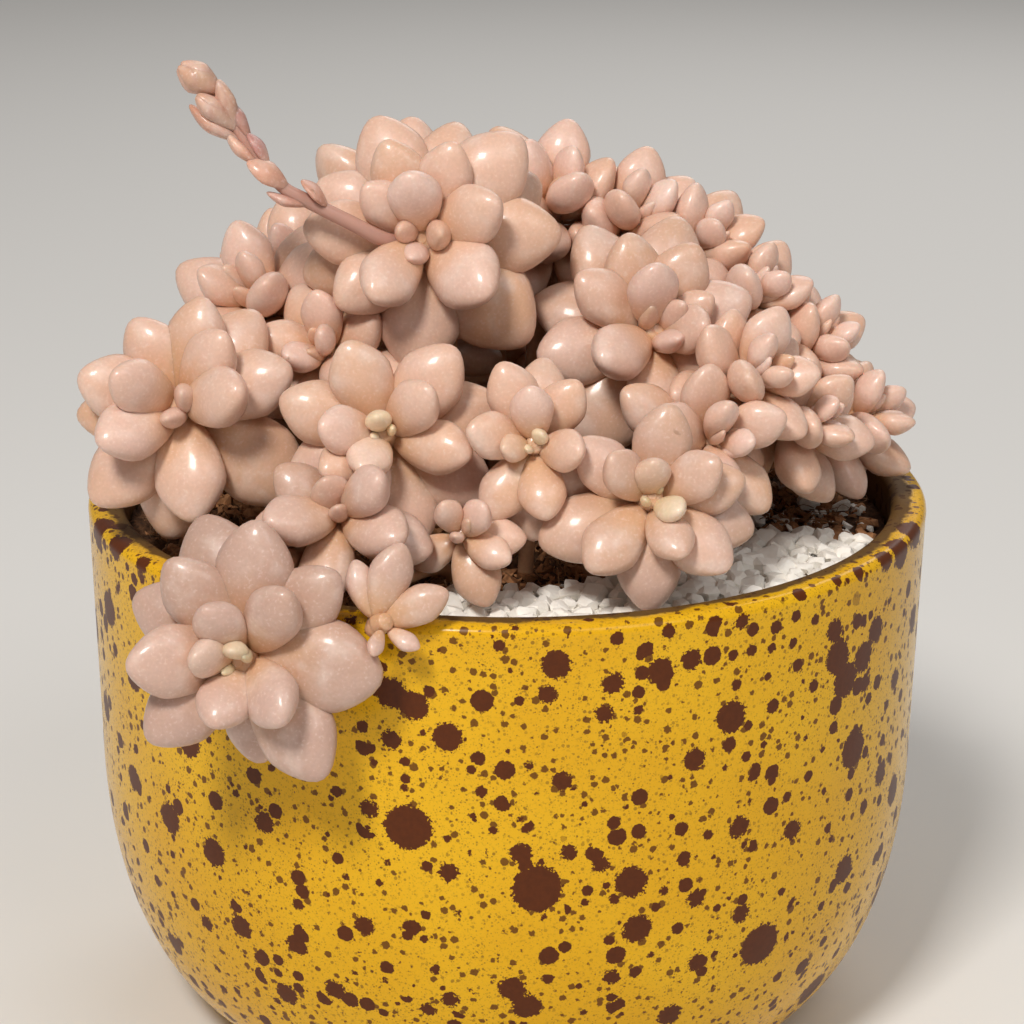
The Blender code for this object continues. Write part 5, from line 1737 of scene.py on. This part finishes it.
@dataclass
class LeafGrower:
    """Grows plump leaves on points, and a round stem along the points' edges."""
    name: str
    finish: Finish
    form: LeafForm = LEAF
    leaf_sides: int = 20
    leaf_rings: int = 15
    stem_sides: int = 14
    spent: tuple = ("is_leaf", "swell", "anchor", "middle", "way", "face", "length", "wide", "thick")

    def points(self, name: str, line: Sequence, radii: Sequence[float], bare: Sequence[float],
               sprouts: Sequence[Sprout]) -> Mesh:
        """A mesh of the stem's line and of one loose point for each leaf.

        Args:
            name: The mesh's name.
            line: The points of the stem's line.
            radii: The stem's radius at each.
            bare: How much of the stem's own colour shows at each.
            sprouts: What each leaf's point carries.

        Returns:
            The mesh.
        """
        stem = len(line)
        mesh = bpy.data.meshes.new(name)
        places = [tuple(point) for point in line] + [(0.0, 0.0, 0.0)] * len(sprouts)
        mesh.from_pydata(places, [(i, i + 1) for i in range(stem - 1)], [])
        rows = {"is_leaf": [0.0] * stem + [1.0] * len(sprouts), "swell": [*radii] + [0.0] * len(sprouts),
                "bare": [*bare] + [0.0] * len(sprouts)}
        for label in ("length", "wide", "thick", "tint", "youth", "mauve"):
            rows[label] = [0.0] * stem + [float(getattr(sprout, label)) for sprout in sprouts]
        for label, row in rows.items():
            mesh.attributes.new(label, "FLOAT", "POINT").data.foreach_set("value", row)
        for label in ("anchor", "middle", "way", "face"):
            row = [0.0] * (3 * stem) + [float(x) for sprout in sprouts for x in getattr(sprout, label)]
            mesh.attributes.new(label, "FLOAT_VECTOR", "POINT").data.foreach_set("vector", row)
        return mesh

    def grown_place(self, recipe: Recipe) -> Wire:
        """Where a point of the unit ball comes to lie on its leaf.

        Args:
            recipe: The tree.

        Returns:
            The place.
        """
        tree = recipe.tree
        spot = tree.node("GeometryNodeInputPosition")
        x, y, z = (tree.part(spot, name) for name in "XYZ")
        middle, anchor = recipe.carried("middle", True), recipe.carried("anchor", True)
        way, face = recipe.carried("way", True), recipe.carried("face", True)
        length = recipe.carried("length")
        across = tree.maths("CROSS_PRODUCT", face, way)
        tip, root = z.most(0.0), z.least(0.0)
        reach = tip * recipe.size("Half") + tip ** 4.0 * recipe.size("Point")
        line = middle + way * (reach * length) + face * (tip * tip * recipe.size("Hook") * length)
        line = line + (middle - anchor) * root
        narrow = (1.0 + root * recipe.size("Neck") - tip * tip * recipe.size("Taper")) * length * 0.5
        bulge = y - y * y * recipe.size("Flat")
        wide = across * (x * narrow * recipe.carried("wide"))
        return line + wide + face * (bulge * narrow * recipe.carried("thick"))

    def recipe(self) -> Recipe:
        """Builds the tree that grows the leaves and the stem.

        Returns:
            The tree.
        """
        form = self.form
        recipe = Recipe(self.name, {
            "Leaf Sides": self.leaf_sides, "Leaf Rings": self.leaf_rings, "Stem Sides": self.stem_sides,
            "Half": form.half, "Hook": form.hook, "Neck": form.neck, "Point": form.point,
            "Flat": form.flat, "Taper": form.taper, "Finish": self.finish.material()})
        tree = recipe.tree
        is_leaf = recipe.carried("is_leaf")
        split = {"Geometry": recipe.size("Geometry"), "Selection": tree.maths("GREATER_THAN", is_leaf, 0.5)}
        seeds = tree.node("GeometryNodeSeparateGeometry", {"domain": "POINT"}, split, "Selection")
        ball = tree.node("GeometryNodeMeshUVSphere", None, {
            "Segments": recipe.size("Leaf Sides"), "Rings": recipe.size("Leaf Rings"), "Radius": 1.0})
        balls = tree.node("GeometryNodeInstanceOnPoints", None, {"Points": seeds, "Instance": ball})
        balls = tree.node("GeometryNodeRealizeInstances", None, {"Geometry": balls})
        high = tree.part(tree.node("GeometryNodeInputPosition"), "Z")
        balls = recipe.keep(balls, "along", high * 0.5 + 0.5)
        grown = {"Geometry": balls, "Position": self.grown_place(recipe)}
        leaves = tree.node("GeometryNodeSetPosition", None, grown)
        line = tree.node("GeometryNodeMeshToCurve", None, {"Mesh": recipe.size("Geometry")})
        ring = tree.node("GeometryNodeCurvePrimitiveCircle", None,
                         {"Resolution": recipe.size("Stem Sides"), "Radius": 1.0})
        stem = tree.node("GeometryNodeCurveToMesh", None, {
            "Curve": line, "Profile Curve": ring, "Scale": recipe.carried("swell"), "Fill Caps": True})
        stem = recipe.keep(stem, "along", 0.25)
        both = tree.node("GeometryNodeJoinGeometry", None, {"Geometry": [leaves, stem]})
        recipe.close(both, True, "Finish")
        return recipe


@dataclass
class Mound:
    """All leafy stems, each one piece."""
    pot: PotForm
    ground: Ground
    finish: PlumpSkin = field(default_factory=lambda: PlumpSkin("plump_skin", 0.34))
    mauve_stems: dict = field(default_factory=lambda: {
        "spill": 0.60, "crown": 0.06, "left": 0.08, "sprig": 0.40, "rim": 0.25, "peak": 0.20,
        "shoulder": 0.3})
    cream_stems: tuple = ("brow", "nest", "rim", "spill")
    slender: dict = field(default_factory=lambda: {"sprig": 0.88})
    seed: int = 11
    chance_tint: float = 0.55
    pink_fade: float = 1.6
    young_leaves: float = 1.3
    young_cream: float = 0.42
    widths: tuple = (0.95, 1.05)
    thicknesses: tuple = (0.94, 1.04)
    mauves: tuple = (0.7, 1.2)
    parts: int = 6
    core_from: float = 0.45
    core_swells: tuple = (0.75, 0.6, 0.2)
    heart_leaves: int = 3
    heart_share: float = 0.50
    heart_cream: float = 0.25
    cream_sink: float = 0.05
    heart_slim: float = 0.80
    heart_sink: float = 0.13
    heart_lean: float = 0.36
    heart_out: float = 0.05
    heart_root: float = 0.10
    heart_lengths: tuple = (0.85, 1.1)
    heart_youth: float = 0.5
    old_rise: float = 0.25
    old_length: float = 0.85
    old_mauve: float = 0.3
    old_leaves: dict = field(default_factory=lambda: {
        "back_top": ((0.62, 178), (0.70, 235), (0.78, 130), (0.84, 290)),
        "cap": ((0.72, 290), (0.80, 240), (0.86, 330)), "back_middle": ((0.70, 200), (0.80, 150))})

    def sprouts(self, stem: Stem, leaves: Sequence[tuple], draw: random.Random) -> list[Sprout]:
        """Gives each settled leaf its small differences.

        Args:
            stem: The stem.
            leaves: Its settled leaves, youngest first.
            draw: The source of the differences.

        Returns:
            These leaves, with the stem's youngest and its old ones.
        """
        grown = []
        mauve = self.mauve_stems.get(stem.name, 0.0)
        cream = self.young_cream if stem.name in self.cream_stems else 0.0
        full = LEAF.width * LEAF.full * self.slender.get(stem.name, 1.0)
        for number, leaf in enumerate(leaves):
            wide = full * draw.uniform(*self.widths)
            thick = LEAF.thick * LEAF.plump * draw.uniform(*self.thicknesses)
            pink = max(0.0, 1 - self.pink_fade * number / len(leaves))
            tint = self.chance_tint * draw.random() + (1 - self.chance_tint) * pink
            youth = max(0.0, 1 - number / self.young_leaves) * cream
            grown.append(Sprout(*leaf, wide, thick, tint, youth, mauve * draw.uniform(*self.mauves)))
        return grown + self.heart(stem, mauve, draw) + self.old(stem, draw)

    def heart(self, stem: Stem, mauve: float, draw: random.Random) -> list[Sprout]:
        """The youngest leaves, which close the middle of a head.

        Args:
            stem: The stem.
            mauve: How mauve its leaves are.
            draw: The source of its small differences.

        Returns:
            The small leaves round the growing point.
        """
        cream = stem.name in self.cream_stems
        share, sink = (self.heart_cream, self.cream_sink) if cream else (self.heart_share, self.heart_sink)
        aside, above = sides(stem.axis)
        grown = []
        count = 0 if stem.name in self.slender else self.heart_leaves - cream
        for number in range(count):
            angle = math.tau * number / count + draw.uniform(0.0, 1.0)
            out = math.cos(angle) * aside + math.sin(angle) * above
            way = unit(stem.axis + out * self.heart_lean)
            face = unit(stem.axis - (way @ stem.axis) * way)
            length = stem.leaf * share * draw.uniform(*self.heart_lengths)
            root = np.array(stem.apex) + (out * self.heart_out - stem.axis * sink) * stem.leaf
            grown.append(Sprout(
                root - stem.axis * self.heart_root * stem.leaf, root + way * LEAF.middle * length, way, face,
                length, LEAF.width * self.heart_slim, LEAF.thick * self.heart_slim, draw.random(),
                self.heart_youth if cream else 0.0, mauve))
        return grown

    def old(self, stem: Stem, draw: random.Random) -> list[Sprout]:
        """The old leaves that some stems still bear below their heads.

        Args:
            stem: The stem.
            draw: The source of their small differences.

        Returns:
            The leaves, each at its share of the stem's line and its turn round it.
        """
        line = along(stem_path(stem, self.ground), POINT_SPACING)
        grown = []
        for share, turn in self.old_leaves.get(stem.name, ()):
            place = line[int(share * (len(line) - 1))]
            angle = math.radians(turn)
            way = unit(np.array([math.cos(angle), math.sin(angle), self.old_rise]))
            face = unit(np.array([0.0, 0.0, 1.0]) - way[2] * way)
            length = self.old_length * stem.leaf
            grown.append(Sprout(place, place + way * LEAF.middle * length, way, face, length,
                                LEAF.width, LEAF.thick, draw.random(), 0.0, self.old_mauve))
        return grown

    def stem_line(self, stem: Stem) -> tuple[list, list, list]:
        """A stem's rounded line, with the thick end that bears leaves.

        Args:
            stem: The stem.

        Returns:
            The line's points, the radius at each and how bare it is there.
        """
        path = stem_path(stem, self.ground)
        apex, low = np.array(stem.apex), path[-1]
        core = LEAF.core * stem.leaf
        tip = apex + stem.axis * LEAF.core_front * stem.leaf
        points = [*path, low + self.core_from * (apex - low), apex, tip]
        swells = [stem.radius] * len(path) + [core * share for share in self.core_swells]
        line, radii = smooth_line(points, swells, self.parts)
        leafy = len(self.core_swells) * self.parts
        return line, radii, [1.0] * (len(line) - leafy) + [0.0] * leafy

    def build(self) -> list[Object]:
        """Settles the leaves and grows each stem with its own.

        Returns:
            The finished pieces.
        """
        crowd = Crowd(STEMS, self.pot, self.ground)
        crowd.settle()
        LOG.info("settled %d leaves", len(crowd.owner))
        grower = LeafGrower("leafy_stem", self.finish)
        recipe = grower.recipe()
        draw = random.Random(self.seed)
        pieces = []
        for number, stem in enumerate(STEMS):
            sprouts = self.sprouts(stem, crowd.leaves(number), draw)
            mesh = grower.points(stem.name, *self.stem_line(stem), sprouts)
            piece = recipe.make("leafy_stem_" + stem.name, mesh, grower.spent)
            pieces.append(declare(piece, Slot.LEAF, "stem_" + stem.name))
        return pieces


@dataclass
class FlowerStalk:
    """The flower stalk: a tapering stem with pointed bracts, and buds of closed petals at its end."""
    finish: PlumpSkin = field(default_factory=lambda: PlumpSkin(
        "flower_skin", 0.38, 0.4, (0.76, 0.40, 0.24), (0.74, 0.42, 0.31), (0.50, 0.25, 0.22),
        (0.84, 0.72, 0.44), (0.52, 0.28, 0.21), (0.45, 0.25, 0.20)))
    form: LeafForm = field(default_factory=lambda: LeafForm(
        half=0.44, hook=0.10, neck=0.35, point=0.10, taper=0.05, flat=0.05))
    taper: tuple = (1.02, 0.62)
    bracts: tuple = (
        (0.40, 20, 24, 0.0046, 0.95, 0.4), (0.48, 185, 14, 0.0052, 0.56, 0.6),
        (0.57, 60, 9, 0.0058, 0.60, 0.2), (0.69, 25, 12, 0.0046, 0.60, 1.0),
        (0.71, 175, 10, 0.0058, 0.60, 0.0), (0.80, 5, 9, 0.0060, 0.46, 0.9),
        (0.83, 186, 24, 0.0076, 0.54, 0.3), (0.88, 75, 12, 0.0046, 0.50, 0.5))
    petals: int = 5
    seed: int = 3
    buds: tuple = ((1, 0.71, -0.46, 0.0, 0.0054, 0.80, 0.68), (2, 0.85, -0.42, 0.35, 0.0050, 0.60, 0.90),
                   (2, 0.95, 0.06, 0.25, 0.0060, 0.42, 0.66))
    start: tuple = (-0.0132, -0.0172, 0.1165)
    right: tuple = (0.94, 0.0, 0.34)
    front: tuple = (0.0, -0.97, 0.24)
    fine_spacing: float = 0.0006
    line_parts: int = 6
    leaf_sides: int = 16
    leaf_rings: int = 12
    stem_sides: int = 12
    bract_out: float = 0.5
    bract_middle: float = 0.55
    bract_thick: float = 0.30
    petal_first: float = 0.4
    petal_lean: float = 0.02
    petal_out: float = 0.24
    petal_wide: float = 0.66
    petal_thick: float = 0.56
    petal_mauve: float = 0.12
    ball_youth: float = 0.05
    ball_mauve: float = 0.1

    def bract(self, line: Array, plan: tuple, draw: random.Random) -> Sprout:
        """One pointed bract that hugs the stalk.

        Args:
            line: Points close together along the stalk.
            plan: Its share of the stalk, turn round it, lean, length, width and how mauve it is.
            draw: The source of its small differences.

        Returns:
            The bract.
        """
        share, turn, lean, length, wide, mauve = plan
        at = int(share * (len(line) - 2)) + 1
        ahead = unit(line[min(at + 1, len(line) - 1)] - line[at - 1])
        side = unit(np.cross(ahead, self.front))
        fore = np.cross(side, ahead)
        angle, tilt = math.radians(turn), math.radians(lean)
        out = math.cos(angle) * side + math.sin(angle) * fore
        way = math.cos(tilt) * ahead + math.sin(tilt) * out
        face = math.sin(tilt) * ahead - math.cos(tilt) * out
        root = line[at] + out * STALK_RADIUS * self.bract_out
        middle = root + way * self.bract_middle * length
        return Sprout(root, middle, way, face, length, wide, self.bract_thick, draw.random(), 0.0, mauve)

    def bud(self, path: Sequence[Array], plan: tuple, draw: random.Random) -> list[Sprout]:
        """One bud: petals that lean together round a ball.

        Args:
            path: The stalk's own points.
            plan: The point it starts from, counted from the end, its way along the stalk, to the right and
                to the front, its length, width and reach.
            draw: The source of its small differences.

        Returns:
            The ball and the petals.
        """
        back, forward, right, front, length, wide, reach = plan
        ahead = unit(path[-1] - path[-2])
        way = unit(forward * ahead + right * np.array(self.right) + front * np.array(self.front))
        aside = unit(np.cross(way, self.right))
        above = np.cross(way, aside)
        base = path[-back]
        middle = base + way * reach * length
        sprouts = [Sprout(base, middle, way, aside, length, wide, wide, draw.random(), self.ball_youth,
                          self.ball_mauve)]
        for number in range(self.petals):
            angle = math.tau * number / self.petals + self.petal_first
            out = math.cos(angle) * aside + math.sin(angle) * above
            tip = unit(way + out * self.petal_lean)
            face = unit(-out + way * self.petal_lean)
            sprouts.append(Sprout(base, middle + out * self.petal_out * wide * length, tip, face, length,
                                  self.petal_wide * wide, self.petal_thick * wide, draw.random(), 0.0,
                                  self.petal_mauve))
        return sprouts

    def build(self) -> Object:
        """Builds the stalk with its bracts and buds.

        Returns:
            The finished piece.
        """
        draw = random.Random(self.seed)
        path = [np.array(self.start)] + [np.array(point) for point in STALK_PATH]
        thick, thin = self.taper
        radii = [STALK_RADIUS * (thick + (thin - thick) * i / (len(path) - 1)) for i in range(len(path))]
        fine = along(path, self.fine_spacing)
        sprouts = [self.bract(fine, plan, draw) for plan in self.bracts]
        for plan in self.buds:
            sprouts += self.bud(path, plan, draw)
        grower = LeafGrower("flower_parts", self.finish, self.form, self.leaf_sides, self.leaf_rings,
                            self.stem_sides)
        line, widths = smooth_line(path, radii, self.line_parts)
        mesh = grower.points("flower_stalk", line, widths, [1.0] * len(line), sprouts)
        piece = grower.recipe().make("flowering_stalk", mesh, grower.spent)
        return declare(piece, Slot.STALK, "flower_stalk")


# The studio

@dataclass
class Studio:
    """A pale floor, soft lights and a camera at the photograph's angle."""
    target: tuple = (0.00067, 0.0, 0.07329)
    distance: float = 0.400
    elevation: float = VIEW_RISE
    roll: float = math.radians(0.33)
    focal_pixels: float = 2757.5
    frame_pixels: int = 1024
    sensor: float = 36.0
    floor_size: float = 6.0
    floor: Plain = field(default_factory=lambda: Plain("pale_floor", 0.9, 0.2, (0.80, 0.79, 0.77)))
    sky: Colour = (1.0, 0.97, 0.94)
    sky_strength: float = 0.21
    lamps: tuple = (
        ("key", (-0.28, -0.72, 0.92), 0.22, 9.5, (1.0, 0.96, 0.91)),
        ("fill", (0.45, -0.60, 0.85), 0.45, 2.2, (1.0, 0.98, 0.96)),
        ("back", (0.25, 0.80, 0.75), 0.60, 2.4, (1.0, 0.99, 0.98)))

    def add_camera(self) -> None:
        """Sets the camera."""
        back = Vector((0.0, -math.cos(self.elevation), math.sin(self.elevation)))
        level = Vector((1.0, 0.0, 0.0))
        above = back.cross(level)
        right = math.cos(self.roll) * level + math.sin(self.roll) * above
        up = -math.sin(self.roll) * level + math.cos(self.roll) * above
        data = bpy.data.cameras.new("camera")
        data.sensor_width = self.sensor
        data.lens = self.sensor * self.focal_pixels / self.frame_pixels
        data.clip_start = 0.01
        camera = placed("camera", data)
        camera.matrix_world = Matrix((right, up, back)).transposed().to_4x4()
        camera.matrix_world.translation = Vector(self.target) + back * self.distance
        bpy.context.scene.camera = camera

    def add_lamps(self) -> None:
        """Sets the soft lights and the even light of the room."""
        for name, place, size, power, colour in self.lamps:
            data = bpy.data.lights.new(name, "AREA")
            data.size = size
            data.energy = power
            data.color = colour
            lamp = placed(name, data)
            lamp.location = place
            aim = Vector(self.target) - Vector(place)
            lamp.rotation_euler = aim.to_track_quat("-Z", "Y").to_euler()
        world = bpy.data.worlds.new("room")
        world.use_nodes = True
        light = world.node_tree.nodes["Background"].inputs
        light["Color"].default_value = (*self.sky, 1.0)
        light["Strength"].default_value = self.sky_strength
        bpy.context.scene.world = world

    def add_floor(self) -> None:
        """Lays the floor."""
        form = bmesh.new()
        bmesh.ops.create_grid(form, x_segments=1, y_segments=1, size=self.floor_size / 2)
        floor = placed("floor", closed_form("floor", form))
        floor.data.materials.append(self.floor.material())

    def build(self) -> None:
        """Sets up the whole studio."""
        self.add_floor()
        self.add_lamps()
        self.add_camera()
        bpy.context.scene.view_settings.view_transform = "Standard"


def main() -> None:
    """Builds and dresses every piece in order."""
    logging.basicConfig(level=logging.INFO, format="%(name)s: %(message)s")
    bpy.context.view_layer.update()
    pot, ground = PotForm(), Ground()
    Pot(pot).build()
    Soil(pot, ground).build()
    BARK.build(pot, ground)
    Fibres().build(pot, ground)
    STONES.build(pot, ground)
    GRIT.build(pot, ground)
    Mound(pot, ground).build()
    FlowerStalk().build()
    Studio().build()


if __name__ == "__main__":
    main()
